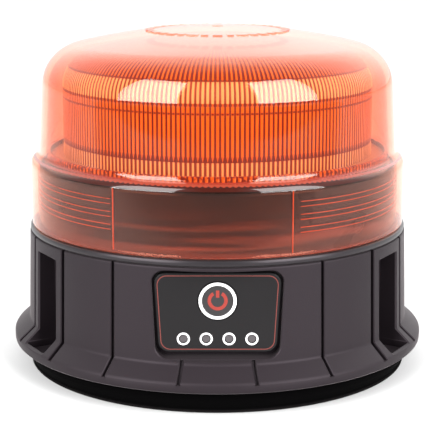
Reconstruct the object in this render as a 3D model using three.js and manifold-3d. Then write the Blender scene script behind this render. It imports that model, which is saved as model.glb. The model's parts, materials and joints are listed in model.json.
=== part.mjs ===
// A rechargeable amber LED warning beacon that stands on a magnetic foot.
// Millimetres, +Z up. The origin is the centre of the rubber foot's underside.
// The control panel faces -Y.
//
// It comes apart in this order: foot (pad, magnet, steel plate), base shell with battery and boards,
// chassis with its seal, LED tower on the chassis deck, fluted inner lens, smooth outer lens.

import * as THREE from "three";
import { mergeVertices } from "three/addons/utils/BufferGeometryUtils.js";
import Module from "manifold-3d";

const wasm = await Module();
wasm.setup();

// ---------------------------------------------------------------- driving dimensions

const FLANGE_RADIUS = 80;
const OVERALL_HEIGHT = 129.4;
const GAP = 0.3; // between pieces that touch
const FINE = 40; // segments round the large turned pieces
const PLAIN = 24; // segments round the inner turned pieces
const SMALL = 8; // segments round a screw or pin

const PAD = { footRadius: 73.8, radius: 75, innerRadius: 70.6, floor: 2, top: 8.6 };
const MAGNET = { outer: 61.5, inner: 24, bottom: 2.3, top: 6.9 };
const PLATE = { radius: 69.5, bottom: 7.2, top: 8.6 };

const SHELL = {
  bottom: 8.9,
  floorTop: 12,
  rimTop: 12.5, // the flange's upright edge ends here and its slope begins
  breakRadius: 74.1, // where the slope meets the wall
  breakZ: 17.7,
  topRadius: 73.1,
  top: 52.2,
  innerRadius: 70,
};
const GROOVE = { width: 1.2, depth: 1.2, bottom: 11.8 };
const POCKET = {
  angles: [60, 120, 240, 300], // degrees from the front, clockwise from above
  back: 66.5, // radius of its back wall
  halfBack: 7.2,
  halfMouth: 7.8,
  bottom: 10.8,
  top: 47.5,
  lipRadius: 78.4, // the flange's rim closes its foot
  wall: 2.1,
  grooveAngle: 9.9, // the grooves beside it, each side of its centre
};
const PANEL_EDGE_ANGLE = 30.3; // the grooves each side of the front and the back
const NOTCH_ANGLE = 9.9; // the short notches in the flange at the front and the back

const CHASSIS = {
  rimRadius: 72.9,
  rimBottom: 52.6,
  rimTop: 54.8,
  spigotRadius: 69.6,
  spigotBottom: 50,
  cupRadius: 68.9, // the upright wall that the lens slips over
  deckRadius: 67.2,
  deckTop: 79.2,
  deckHole: 8,
  wall: 2.4,
};
const DECK_BOTTOM = CHASSIS.deckTop - CHASSIS.wall;
const SEAL = { inner: 69.8, outer: 71.2, bottom: 53.9, top: 54.95 }; // lies in a groove in the rim

const LENS = {
  bandRadius: 72.2,
  bottom: 55.1,
  bandTop: 78.2,
  footRadius: 68.9, // where the dome rises from the band's shoulder
  footZ: 82.8,
  shoulderRadius: 67.4, // where the dome's wall starts to round over
  shoulderZ: 106.95,
  shoulderIn: 17.1,
  shoulderUp: 16.6,
  shoulderTurn: 76.6, // degrees, after which the crown goes on at the same slope
  wall: 2.5,
};
const OPTIC = {
  bottom: 79.6,
  footRadius: 66.4,
  footTop: 81.2,
  radius: 59.5,
  shoulderZ: 107.5,
  shoulderIn: 18,
  shoulderUp: 14.6,
  shoulderTurn: 80,
  top: 125,
  wall: 2.2,
};

const TOWER = { apothem: 18, bottom: 79.6, top: 112, bore: 6.2 };
const LED_BOARD = { width: 17, height: 28, thickness: 1.5, bottom: 81.6 };
const EMITTER = { half: 2.6, proud: 1.4, pitch: 9 };
const CAP_RADIUS = 21.5;

const PANEL = {
  face: -69.4, // its front, on the Y axis
  back: -67.2,
  halfTop: 22.5,
  halfBottom: 20.95,
  bottom: 21.1,
  top: 49.7,
  corner: 4,
  around: 1, // the shell's opening is wider than the panel by this much
  below: 0.5, // and lower by this much more
  ledge: 1.8, // and the frame the panel rests on reaches this far in behind it
  ledgeFront: -65.9,
};
const BUTTON = { radius: 6.8, z: 39.7, proud: 0.4, flange: 8, stem: 2.2, stemEnd: -63.3 };
const INDICATORS = { z: 25.9, pitch: 8, count: 4, radius: 1.5 };

const PORT = {
  z: 35, // the jack's axis
  floor: 70.6, // the recess behind the cover, on the Y axis
  face: 73.1,
  halfWidth: 10,
  coverBottom: 27.5,
  coverTop: 42.6,
  anchorTop: 46.8,
};
const FRONT_FRAME = { halfWidth: 27, inside: -63.4 }; // the thick part of the shell round the panel
const BACK_FRAME = { halfWidth: 16, inside: 66.6 }; // and round the charging port

// ---------------------------------------------------------------- shaping helpers

const radians = THREE.MathUtils.degToRad;

// A closed mesh as a manifold-3d solid, with shared vertices merged.
function toSolid(geometry) {
  const bare = new THREE.BufferGeometry();
  bare.setAttribute("position", geometry.getAttribute("position"));
  bare.setIndex(geometry.index);
  const merged = mergeVertices(bare, 1e-3);
  const mesh = new wasm.Mesh({
    numProp: 3,
    vertProperties: merged.attributes.position.array,
    triVerts: new Uint32Array(merged.index.array),
  });
  return new wasm.Manifold(mesh);
}

function toGeometry(solid) {
  const mesh = solid.getMesh();
  const geometry = new THREE.BufferGeometry();
  geometry.setAttribute("position", new THREE.BufferAttribute(mesh.vertProperties, 3));
  geometry.setIndex(new THREE.BufferAttribute(mesh.triVerts, 1));
  geometry.computeVertexNormals();
  return geometry;
}

const join = (...bodies) => toGeometry(bodies.map(toSolid).reduce((a, b) => a.add(b)));

function cut(body, tools) {
  return toGeometry(tools.reduce((left, tool) => left.subtract(toSolid(tool)), toSolid(body)));
}

const overlap = (a, b) => toGeometry(toSolid(a).intersect(toSolid(b)));

// A solid of revolution about Z, from [radius, z] pairs that run up the outside.
function turned(profile, segments) {
  const points = profile.map(([radius, z]) => new THREE.Vector2(radius, z));
  return new THREE.LatheGeometry(points, segments).rotateX(Math.PI / 2);
}

function ring(inner, outer, z0, z1, segments) {
  return turned([[inner, z0], [outer, z0], [outer, z1], [inner, z1], [inner, z0]], segments);
}

function rod(radius, z0, z1, segments = SMALL) {
  const height = z1 - z0;
  return new THREE.CylinderGeometry(radius, radius, height, segments)
    .rotateX(Math.PI / 2)
    .translate(0, 0, z0 + height / 2);
}

// A block from its lowest and highest corners.
function block([x0, y0, z0], [x1, y1, z1]) {
  return new THREE.BoxGeometry(x1 - x0, y1 - y0, z1 - z0)
    .translate((x0 + x1) / 2, (y0 + y1) / 2, (z0 + z1) / 2);
}

// A rod along Y.
function crossRod(radius, y0, y1, x, z, segments = SMALL) {
  return new THREE.CylinderGeometry(radius, radius, y1 - y0, segments)
    .translate(x, (y0 + y1) / 2, z);
}

// A flat outline in the XZ plane, given a thickness from y0 to y1.
function upright(shape, y0, y1) {
  return new THREE.ExtrudeGeometry(shape, { depth: y1 - y0, bevelEnabled: false, curveSegments: 4 })
    .rotateX(Math.PI / 2)
    .translate(0, y1, 0);
}

// Turns a geometry that is made at the front (-Y) to an angle from there, clockwise seen from above.
const atAngle = (geometry, degrees) => geometry.rotateZ(radians(degrees));

// [x, y] at a radius and an angle from the front.
function polar(radius, degrees) {
  return [radius * Math.sin(radians(degrees)), -radius * Math.cos(radians(degrees))];
}

// Points on an ellipse from (radius, z) inwards and upwards, as far as it turns.
function shoulder(radius, z, inwards, upwards, steps, turn) {
  return Array.from({ length: steps }, (_, i) => {
    const t = ((i + 1) / steps) * radians(turn);
    return [radius - inwards * (1 - Math.cos(t)), z + upwards * Math.sin(t)];
  });
}

// Points on a shallow crown from (radius, z) to the top, on the axis.
function crown(radius, z, top, steps) {
  return Array.from({ length: steps }, (_, i) => {
    const r = radius * (1 - (i + 1) / steps);
    return [r, z + (top - z) * (1 - (r / radius) ** 2)];
  });
}

// A dome's rounded shoulder and its crown, from the top of its upright wall to the axis.
function overTheTop({ shoulderZ, shoulderIn, shoulderUp, shoulderTurn }, radius, top) {
  const round = shoulder(radius, shoulderZ, shoulderIn, shoulderUp, 6, shoulderTurn);
  const [crownRadius, crownZ] = round[round.length - 1];
  return [...round, ...crown(crownRadius, crownZ, top, 4)];
}

// The inside of a wall: the same points moved in and down by its thickness, in reverse order.
function innerSkin(outside, wall) {
  const skin = outside.map(([r, z], i) => {
    const [r0, z0] = outside[Math.max(i - 1, 0)];
    const [r1, z1] = outside[Math.min(i + 1, outside.length - 1)];
    const length = Math.hypot(r1 - r0, z1 - z0);
    const inwards = [-(z1 - z0) / length, (r1 - r0) / length];
    return [Math.max(r + wall * inwards[0], 0), z + wall * inwards[1]];
  });
  skin[skin.length - 1][0] = 0;
  return skin.reverse();
}

// A round lead of one radius along a list of points.
function lead({ points, radius }) {
  const path = new THREE.CatmullRomCurve3(points.map((p) => new THREE.Vector3(...p)));
  const section = new THREE.Shape().absarc(0, 0, radius, 0, 2 * Math.PI);
  const steps = 2 * points.length;
  const options = { steps, extrudePath: path, curveSegments: 3, bevelEnabled: false };
  return new THREE.ExtrudeGeometry(section, options);
}

// A screw along +Z: a flat head below, from z0 to the head's top, then its shank up to z1.
function screwGeometry({ head, headHeight, shank }, z0, z1) {
  return turned(
    [[0, z0], [head, z0], [head, z0 + headHeight], [shank, z0 + headHeight], [shank, z1], [0, z1]],
    SMALL,
  );
}

// ---------------------------------------------------------------- foot

function magnetPad() {
  const { footRadius, radius, innerRadius, floor, top } = PAD;
  return turned(
    [
      [0, 0], [footRadius - 0.6, 0], [footRadius, 0.6], [radius, 4.5], [radius - 0.3, top],
      [innerRadius, top], [innerRadius, floor], [0, floor],
    ],
    FINE,
  );
}

const ringMagnet = () => ring(MAGNET.inner, MAGNET.outer, MAGNET.bottom, MAGNET.top, PLAIN);

const MAGNET_SCREW = { head: 3, headHeight: 1.5, shank: 1.6, bottom: 5.4, top: 17, radius: 66 };
const MAGNET_SCREW_ANGLES = [0, 90, 180, 270];

function backingPlate() {
  const holes = MAGNET_SCREW_ANGLES.map((angle) => {
    const [x, y] = polar(MAGNET_SCREW.radius, angle);
    return rod(MAGNET_SCREW.shank + GAP, PLATE.bottom - 1, PLATE.top + 1).translate(x, y, 0);
  });
  return cut(rod(PLATE.radius, PLATE.bottom, PLATE.top, PLAIN), holes);
}

const magnetScrew = () => screwGeometry(MAGNET_SCREW, MAGNET_SCREW.bottom, MAGNET_SCREW.top);

// ---------------------------------------------------------------- base shell

const BODY_SCREW = { head: 3.6, headHeight: 2, shank: 2, bottom: 9.2, top: 58, radius: 60 };
const BODY_SCREW_ANGLES = [38, 142, 218, 322];
const COLUMN_RADIUS = 4.6;
const COLUMN_TOP = 46;

// The panel's outline, grown by a margin. It is wider at the top.
function panelShape(margin) {
  const { halfTop, halfBottom, bottom, top, corner } = PANEL;
  const r = corner + margin;
  const lean = (halfTop - halfBottom) / (top - bottom);
  const high = top + margin;
  const low = bottom - margin;
  const wide = halfTop + margin;
  const narrow = halfBottom + margin;
  const shape = new THREE.Shape();
  shape.moveTo(-narrow + r, low);
  shape.lineTo(narrow - r, low);
  shape.quadraticCurveTo(narrow, low, narrow + lean * r, low + r);
  shape.lineTo(wide - lean * r, high - r);
  shape.quadraticCurveTo(wide, high, wide - r, high);
  shape.lineTo(-wide + r, high);
  shape.quadraticCurveTo(-wide, high, -wide + lean * r, high - r);
  shape.lineTo(-narrow - lean * r, low + r);
  shape.quadraticCurveTo(-narrow, low, -narrow + r, low);
  return shape;
}

// A groove that keeps its depth down the wall and the flange's slope, cut at the front.
function grooveCutter(topZ) {
  const outline = new THREE.Shape();
  const { depth, width, bottom } = GROOVE;
  const { breakRadius, breakZ } = SHELL;
  const beyond = FLANGE_RADIUS + 4;
  outline.moveTo(beyond, bottom);
  outline.lineTo(FLANGE_RADIUS - depth, bottom);
  outline.lineTo(breakRadius - depth, breakZ - depth / 2);
  if (topZ > breakZ) outline.lineTo(SHELL.topRadius - depth, topZ);
  outline.lineTo(beyond, Math.max(topZ, breakZ + 1));
  return new THREE.ExtrudeGeometry(outline, { depth: width, bevelEnabled: false })
    .translate(0, 0, -width / 2)
    .rotateX(Math.PI / 2)
    .rotateZ(-Math.PI / 2);
}

// The hollow of a side pocket: open outwards above the flange, closed by the flange's rim below it.
function pocketCutter() {
  const { back, halfBack, halfMouth, bottom, top, lipRadius } = POCKET;
  const plan = (mouthRadius, half) => new THREE.Shape([
    new THREE.Vector2(-halfBack, -back),
    new THREE.Vector2(-half, -mouthRadius),
    new THREE.Vector2(half, -mouthRadius),
    new THREE.Vector2(halfBack, -back),
  ]);
  const spread = (halfMouth - halfBack) / (SHELL.topRadius - back);
  const beyond = FLANGE_RADIUS + 4;
  const upper = new THREE.ExtrudeGeometry(plan(beyond, halfBack + spread * (beyond - back)), {
    depth: top - SHELL.rimTop - 0.4,
    bevelEnabled: false,
  }).translate(0, 0, SHELL.rimTop + 0.4);
  const lower = new THREE.ExtrudeGeometry(plan(lipRadius, halfBack + spread * (lipRadius - back)), {
    depth: SHELL.rimTop + 4 - bottom,
    bevelEnabled: false,
  }).translate(0, 0, bottom);
  return join(upper, lower);
}

// A slotted rail that holds one side of the charging board.
function chargeRail(side) {
  const { halfWidth, halfHeight, front, back } = CHARGE_BOARD;
  const [near, far] = [side * (halfWidth - 1), side * (halfWidth + 2.5)];
  const rail = block(
    [Math.min(near, far), front - 1.4, PORT.z - halfHeight - 1],
    [Math.max(near, far), BACK_FRAME.inside + 0.4, PORT.z + halfHeight + 1],
  );
  const slot = block(
    [-halfWidth - GAP, front - GAP, PORT.z - halfHeight - 2],
    [halfWidth + GAP, back + GAP, PORT.z + halfHeight + 2],
  );
  return cut(rail, [slot]);
}

function baseShell() {
  const { bottom, floorTop, rimTop, breakRadius, breakZ, topRadius, top, innerRadius } = SHELL;
  const outer = turned(
    [
      [0, bottom], [FLANGE_RADIUS - 0.8, bottom], [FLANGE_RADIUS, bottom + 0.8],
      [FLANGE_RADIUS, rimTop], [breakRadius, breakZ], [topRadius, top], [0, top],
    ],
    FINE,
  );
  const skirt = cut(outer, [rod(innerRadius, floorTop, top + 1, FINE)]);

  const pocketBackings = POCKET.angles.map((angle) => {
    const half = POCKET.halfBack + POCKET.wall;
    const inner = POCKET.back - POCKET.wall;
    const backing = block([-half, -innerRadius - 1, bottom], [half, -inner, POCKET.top + POCKET.wall]);
    return atAngle(backing, angle);
  });
  const front = overlap(outer, block(
    [-FRONT_FRAME.halfWidth, -FLANGE_RADIUS, bottom],
    [FRONT_FRAME.halfWidth, FRONT_FRAME.inside, top],
  ));
  const back = overlap(outer, block(
    [-BACK_FRAME.halfWidth, BACK_FRAME.inside, bottom],
    [BACK_FRAME.halfWidth, FLANGE_RADIUS, top],
  ));
  const columns = BODY_SCREW_ANGLES.map((angle) => {
    const [x, y] = polar(BODY_SCREW.radius, angle);
    return rod(COLUMN_RADIUS, bottom, COLUMN_TOP).translate(x, y, 0);
  });
  const magnetBosses = [90, 270].map((angle) => {
    const [x, y] = polar(MAGNET_SCREW.radius, angle);
    return rod(COLUMN_RADIUS, bottom, MAGNET_SCREW.top + 2).translate(x, y, 0);
  });
  const boardPosts = SWITCH_BOARD.posts.map(([x, z]) =>
    crossRod(POST.radius, FRONT_FRAME.inside - 0.6, SWITCH_BOARD.front - GAP, x, z));

  const grooveAngles = [
    ...POCKET.angles.flatMap((a) => [a - POCKET.grooveAngle, a + POCKET.grooveAngle]),
    PANEL_EDGE_ANGLE, -PANEL_EDGE_ANGLE, 180 - PANEL_EDGE_ANGLE, 180 + PANEL_EDGE_ANGLE,
  ];
  const notchAngles = [NOTCH_ANGLE, -NOTCH_ANGLE, 180 - NOTCH_ANGLE, 180 + NOTCH_ANGLE];
  const screwHoles = BODY_SCREW_ANGLES.flatMap((angle) => {
    const [x, y] = polar(BODY_SCREW.radius, angle);
    const headTop = BODY_SCREW.bottom + BODY_SCREW.headHeight + GAP;
    return [
      rod(BODY_SCREW.shank + GAP, bottom - 1, COLUMN_TOP + 1).translate(x, y, 0),
      rod(BODY_SCREW.head + GAP, bottom - 1, headTop).translate(x, y, 0),
    ];
  });
  const magnetHoles = MAGNET_SCREW_ANGLES.map((angle) => {
    const [x, y] = polar(MAGNET_SCREW.radius, angle);
    return rod(MAGNET_SCREW.shank + GAP, bottom - 1, MAGNET_SCREW.top + GAP).translate(x, y, 0);
  });
  const batteryHoles = BATTERY_EARS.map(([x, y]) =>
    rod(BATTERY_SCREW.shank + GAP, BATTERY_SCREW.bottom - GAP, floorTop + 1).translate(x, y, 0));
  const chargeRails = [-1, 1].map(chargeRail);
  const postHoles = SWITCH_BOARD.posts.map(([x, z]) =>
    crossRod(POST.hole, POST.holeEnd, SWITCH_BOARD.front, x, z));
  const solid = join(
    skirt, front, back,
    ...pocketBackings, ...columns, ...magnetBosses, ...boardPosts, ...chargeRails,
  );
  return cut(solid, [
    ...grooveAngles.map((angle) => atAngle(grooveCutter(top + 1), angle)),
    ...notchAngles.map((angle) => atAngle(grooveCutter(breakZ), angle)),
    ...POCKET.angles.map((angle) => atAngle(pocketCutter(), angle)),
    upright(panelShape(PANEL.around), -90, PANEL.ledgeFront),
    upright(panelShape(PANEL.around), -90, PANEL.ledgeFront).translate(0, 0, -PANEL.below),
    upright(panelShape(-PANEL.ledge), PANEL.ledgeFront - 0.6, FRONT_FRAME.inside + 3),
    block([-PORT.halfWidth - 0.5, PORT.floor, PORT.coverBottom - 0.5],
      [PORT.halfWidth + 0.5, 90, PORT.anchorTop + 0.5]),
    crossRod(JACK.nose + GAP, 60, 75, 0, PORT.z, 24),
    crossRod(ANCHOR_STEM.radius + GAP, ANCHOR_STEM.end - 1, 75, 0, ANCHOR_STEM.z),
    ...screwHoles,
    ...magnetHoles,
    ...postHoles,
    ...batteryHoles,
  ]);
}

const bodyScrew = () => screwGeometry(BODY_SCREW, BODY_SCREW.bottom, BODY_SCREW.top);

// ---------------------------------------------------------------- chassis and seal

const BOARD_SCREW = { head: 2.8, headHeight: 1.6, shank: 1.25, radius: 40, post: 3.2 };
const BOARD_SCREW_ANGLES = [30, 150, 270];
const TOWER_SCREW = { head: 2.8, headHeight: 1.6, shank: 1.5, radius: 11 };
const TOWER_SCREW_ANGLES = [0, 120, 240];

function chassis() {
  const c = CHASSIS;
  const cup = turned(
    [
      [c.spigotRadius - c.wall, c.spigotBottom], [c.spigotRadius, c.spigotBottom],
      [c.spigotRadius, c.rimBottom], [c.rimRadius - 0.5, c.rimBottom],
      [c.rimRadius, c.rimBottom + 0.6], [c.rimRadius - 0.1, c.rimTop - 0.7],
      [c.rimRadius - 0.9, c.rimTop], [c.cupRadius, c.rimTop],
      [c.cupRadius, c.deckTop - 2.6], [c.cupRadius - 0.6, c.deckTop - 1],
      [c.deckRadius, c.deckTop], [c.deckHole, c.deckTop], [c.deckHole, DECK_BOTTOM],
      [c.deckRadius - c.wall - 0.6, DECK_BOTTOM], [c.cupRadius - c.wall, DECK_BOTTOM - 2.6],
      [c.cupRadius - c.wall, c.rimTop], [c.spigotRadius - c.wall, c.spigotBottom],
    ],
    FINE,
  );
  const columns = BODY_SCREW_ANGLES.map((angle) => {
    const [x, y] = polar(BODY_SCREW.radius, angle);
    return rod(COLUMN_RADIUS, COLUMN_TOP + GAP, DECK_BOTTOM + 1).translate(x, y, 0);
  });
  const posts = BOARD_SCREW_ANGLES.map((angle) => {
    const [x, y] = polar(BOARD_SCREW.radius, angle);
    return rod(BOARD_SCREW.post, MAIN_BOARD.top + GAP, DECK_BOTTOM + 1).translate(x, y, 0);
  });
  const holes = [
    ...BODY_SCREW_ANGLES.map((angle) => {
      const [x, y] = polar(BODY_SCREW.radius, angle);
      return rod(BODY_SCREW.shank + GAP, COLUMN_TOP - 1, BODY_SCREW.top + GAP).translate(x, y, 0);
    }),
    ...BOARD_SCREW_ANGLES.map((angle) => {
      const [x, y] = polar(BOARD_SCREW.radius, angle);
      return rod(BOARD_SCREW.shank + GAP, MAIN_BOARD.top - 1, MAIN_BOARD.top + 8).translate(x, y, 0);
    }),
    ...TOWER_SCREW_ANGLES.map((angle) => {
      const [x, y] = polar(TOWER_SCREW.radius, angle);
      return rod(TOWER_SCREW.shank + GAP, DECK_BOTTOM - 1, c.deckTop + 1).translate(x, y, 0);
    }),
    ring(SEAL.inner - GAP, SEAL.outer + GAP, SEAL.bottom - GAP, c.rimTop + 1, FINE),
    block(
      [-FRONT_FRAME.halfWidth - 1, -FLANGE_RADIUS, c.spigotBottom - 1],
      [FRONT_FRAME.halfWidth + 1, FRONT_FRAME.inside + 3, c.rimBottom],
    ),
    block(
      [-BACK_FRAME.halfWidth - 1, BACK_FRAME.inside - 3, c.spigotBottom - 1],
      [BACK_FRAME.halfWidth + 1, FLANGE_RADIUS, c.rimBottom],
    ),
  ];
  return cut(join(cup, ...columns, ...posts), holes);
}

const lensSeal = () => ring(SEAL.inner, SEAL.outer, SEAL.bottom, SEAL.top, FINE);

// ---------------------------------------------------------------- lenses

function outerLens() {
  const l = LENS;
  const outside = [
    [l.bandRadius, l.bottom], [l.bandRadius, l.bandTop],
    [l.bandRadius - 0.5, l.bandTop + 1.4], [l.bandRadius - 1.7, l.bandTop + 2.7],
    [l.footRadius, l.footZ], [l.shoulderRadius, l.shoulderZ],
    ...overTheTop(l, l.shoulderRadius, OVERALL_HEIGHT),
  ];
  return turned([...outside, ...innerSkin(outside, l.wall), outside[0]], FINE);
}

function innerLens() {
  const o = OPTIC;
  const outside = [
    [o.radius, o.bottom], [o.radius, o.shoulderZ],
    ...overTheTop(o, o.radius, o.top),
  ];
  const dome = turned([...outside, ...innerSkin(outside, o.wall), outside[0]], FINE);
  return join(dome, ring(o.radius - o.wall, o.footRadius, o.bottom, o.footTop, FINE));
}

const REFLECTOR = { inner: 24, thickness: 1.5 }; // its hole clears the tower

function reflectorPlate() {
  const outer = OPTIC.radius - OPTIC.wall - 0.7;
  return ring(REFLECTOR.inner, outer, OPTIC.bottom, OPTIC.bottom + REFLECTOR.thickness, PLAIN);
}

// ---------------------------------------------------------------- LED tower

const HEX_SIDES = [0, 60, 120, 180, 240, 300];

function heatSink() {
  const halfSide = Math.PI / HEX_SIDES.length;
  const column = rod(TOWER.apothem / Math.cos(halfSide), TOWER.bottom, TOWER.top, HEX_SIDES.length)
    .rotateZ(halfSide);
  return cut(column, [
    rod(TOWER.bore, TOWER.bottom - 1, TOWER.top + 1, 16),
    ...TOWER_SCREW_ANGLES.map((angle) => {
      const [x, y] = polar(TOWER_SCREW.radius, angle);
      return rod(TOWER_SCREW.shank + GAP, TOWER.bottom - 1, TOWER.bottom + 9).translate(x, y, 0);
    }),
  ]);
}

// A narrow board with three emitters down its middle, made at the front.
function ledBoard() {
  const { width, height, thickness, bottom } = LED_BOARD;
  const near = -TOWER.apothem - GAP;
  const board = block([-width / 2, near - thickness, bottom], [width / 2, near, bottom + height]);
  const { half, proud, pitch } = EMITTER;
  const emitters = [-1, 0, 1].map((i) => {
    const z = bottom + height / 2 + i * pitch;
    return block([-half, near - thickness - proud, z - half], [half, near - thickness + 0.2, z + half]);
  });
  return join(board, ...emitters);
}

const towerCap = () => join(
  rod(CAP_RADIUS, TOWER.top + GAP, TOWER.top + 2, PLAIN),
  rod(TOWER.bore - GAP, TOWER.top - 3, TOWER.top + 1, 16),
);

function towerScrew() {
  const underDeck = DECK_BOTTOM - TOWER_SCREW.headHeight - GAP;
  return screwGeometry(TOWER_SCREW, underDeck, TOWER.bottom + 8);
}

// ---------------------------------------------------------------- main board

const MAIN_BOARD = { radius: 46, bottom: 62, top: 63.6 };

function mainBoard() {
  const { radius, bottom, top } = MAIN_BOARD;
  const parts = [
    block([-22, -8, top - 0.2], [-6, 8, top + 1.6]), // controller
    block([8, -26, top - 0.2], [22, -12, top + 6]), // choke
    block([-9, 20, bottom - 8], [9, 28, bottom + 0.2]), // wire header
    rod(5, bottom - 9, bottom + 0.2).translate(20, 14, 0), // capacitor
    rod(5, bottom - 9, bottom + 0.2).translate(-20, -16, 0),
    block([-8, -34, bottom - 6], [8, -28, bottom + 0.2]), // switch-board header
  ];
  const holes = BOARD_SCREW_ANGLES.map((angle) => {
    const [x, y] = polar(BOARD_SCREW.radius, angle);
    return rod(BOARD_SCREW.shank + GAP, bottom - 1, top + 1).translate(x, y, 0);
  });
  return cut(join(rod(radius, bottom, top, PLAIN), ...parts), holes);
}

function boardScrew() {
  const underBoard = MAIN_BOARD.bottom - BOARD_SCREW.headHeight - GAP;
  return screwGeometry(BOARD_SCREW, underBoard, MAIN_BOARD.top + 7);
}

// ---------------------------------------------------------------- battery

const CELL = { radius: 9.2, length: 65, z: 24, contact: 2.8 };
const CELL_XS = [-28.8, -9.6, 9.6, 28.8];
const TRAY = { halfX: 40.5, halfY: 36, bottom: 12.4, floor: 14.4, top: 26, wall: 2 };
const BATTERY_SCREW = { head: 3, headHeight: 1.8, shank: 1.5, top: 37.5, bottom: 10.2 };
const BATTERY_COVER = { bottom: 33.6, top: 35.4, halfX: 38, halfY: 30 };
const BATTERY_EARS = [[-45, 0], [45, 0]];
const EAR_RADIUS = 5;

function batteryHolder() {
  const t = TRAY;
  const tray = cut(block([-t.halfX, -t.halfY, t.bottom], [t.halfX, t.halfY, t.top]), [
    block(
      [-t.halfX + t.wall, -t.halfY + t.wall, t.floor],
      [t.halfX - t.wall, t.halfY - t.wall, t.top + 1],
    ),
  ]);
  const ears = BATTERY_EARS.map(([x, y]) =>
    rod(EAR_RADIUS, t.bottom, BATTERY_COVER.bottom - GAP, 16).translate(x, y, 0));
  const holes = BATTERY_EARS.map(([x, y]) =>
    rod(BATTERY_SCREW.shank + GAP, t.bottom - 1, BATTERY_COVER.bottom + 1).translate(x, y, 0));
  const bays = CELL_XS.map((x) =>
    crossRod(CELL.radius + GAP, -t.halfY + t.wall, t.halfY - t.wall, x, CELL.z, 24));
  return cut(join(tray, ...ears), [...holes, ...bays]);
}

// A cell lies along Y, with its raised contact at the front.
function batteryCell(x) {
  const half = CELL.length / 2;
  return join(
    crossRod(CELL.radius, -half, half, x, CELL.z, 24),
    crossRod(CELL.contact, -half - 1, -half + 0.2, x, CELL.z),
  );
}

function batteryCover() {
  const { bottom, top, halfX, halfY } = BATTERY_COVER;
  const reach = BATTERY_EARS[1][0];
  const plate = block([-halfX, -halfY, bottom], [halfX, halfY, top]);
  const ears = BATTERY_EARS.map(([x, y]) => rod(EAR_RADIUS, bottom, top, 16).translate(x, y, 0));
  const arms = block([-reach, -EAR_RADIUS, bottom], [reach, EAR_RADIUS, top]);
  const holes = BATTERY_EARS.map(([x, y]) =>
    rod(BATTERY_SCREW.shank + GAP, bottom - 1, top + 1).translate(x, y, 0));
  return cut(join(plate, arms, ...ears), holes);
}

// These screws point down, so the head is on top.
function batteryScrew() {
  const { bottom, top } = BATTERY_SCREW;
  return screwGeometry(BATTERY_SCREW, -top, -bottom).rotateX(Math.PI);
}

// ---------------------------------------------------------------- control panel

const SWITCH_BOARD = {
  front: -58.6,
  back: -57,
  halfWidth: 26,
  bottom: 22.5,
  top: 47.5,
  posts: [[-22.6, 29], [22.6, 44]],
};
const POST = { radius: 2.4, hole: 1.3, holeEnd: -64.9 };
const POST_SCREW = { head: 2, headHeight: 1.3, shank: 1, length: 7.6 };
const SWITCH = { half: 3, front: -62.4, plunger: 1.7 };
const INDICATOR_XS = Array.from({ length: INDICATORS.count }, (_, i) =>
  (i - (INDICATORS.count - 1) / 2) * INDICATORS.pitch);

function controlPanel() {
  return cut(upright(panelShape(0), PANEL.face, PANEL.back), [
    crossRod(BUTTON.radius + GAP, PANEL.face - 1, PANEL.back + 1, 0, BUTTON.z, 28),
    ...INDICATOR_XS.map((x) =>
      crossRod(INDICATORS.radius + GAP, PANEL.face - 1, PANEL.back + 1, x, INDICATORS.z)),
  ]);
}

function panelGasket() {
  const gasket = upright(panelShape(0), PANEL.back + GAP, PANEL.ledgeFront - GAP);
  return cut(gasket, [upright(panelShape(-PANEL.ledge), PANEL.face, PANEL.ledgeFront + 1)]);
}

// The key, its retaining flange behind the panel and the stem that presses the switch.
function powerButton() {
  const { radius, z, proud, flange, stem, stemEnd } = BUTTON;
  return join(
    crossRod(radius, PANEL.face - proud, PANEL.back + 1, 0, z, 28),
    crossRod(flange, PANEL.back + GAP, PANEL.back + 1.1, 0, z, 28),
    crossRod(stem, PANEL.back + 1, stemEnd, 0, z),
  );
}

function tactSwitch() {
  const { half, front, plunger } = SWITCH;
  const z = BUTTON.z;
  const body = block([-half, front, z - half], [half, SWITCH_BOARD.front - GAP, z + half]);
  return cut(body, [crossRod(plunger + GAP, front - 1, front + 2.6, 0, z)]);
}

function switchPlunger() {
  return crossRod(SWITCH.plunger, SWITCH.front - 0.6, SWITCH.front + 1.2, 0, BUTTON.z);
}

function switchBoard() {
  const { front, back, halfWidth, bottom, top, posts } = SWITCH_BOARD;
  const board = block([-halfWidth, front, bottom], [halfWidth, back, top]);
  const leds = INDICATOR_XS.map((x) =>
    block([x - 1.5, front - 1, INDICATORS.z - 1.5], [x + 1.5, front + 0.2, INDICATORS.z + 1.5]));
  const plug = block([-6, back - 0.2, 28], [6, back + 5, 33]);
  const holes = posts.map(([x, z]) => crossRod(POST.hole, front - 1, back + 1, x, z));
  return cut(join(board, ...leds, plug), holes);
}

// These screws point forwards, so the head is behind the board.
function switchBoardScrew(index) {
  const [x, z] = SWITCH_BOARD.posts[index];
  const head = -SWITCH_BOARD.back - POST_SCREW.headHeight - GAP;
  return screwGeometry(POST_SCREW, head, head + POST_SCREW.length + 1.6)
    .rotateX(Math.PI / 2)
    .translate(x, 0, z);
}

function lightPipe(index) {
  const x = INDICATOR_XS[index];
  return join(
    crossRod(INDICATORS.radius, PANEL.face, SWITCH_BOARD.front - 1.4, x, INDICATORS.z),
    crossRod(INDICATORS.radius + 0.8, PANEL.back + GAP, PANEL.back + 1.1, x, INDICATORS.z),
  );
}

// ---------------------------------------------------------------- charging port

const JACK = { half: 5.5, nose: 4.2, socket: 3.1, pin: 1, mouth: 70.3, back: 58.9 };
const CHARGE_BOARD = { halfWidth: 11, halfHeight: 9, front: 57, back: 58.6 };
const ANCHOR_STEM = { radius: 1.6, end: 67, z: 45 };

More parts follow.
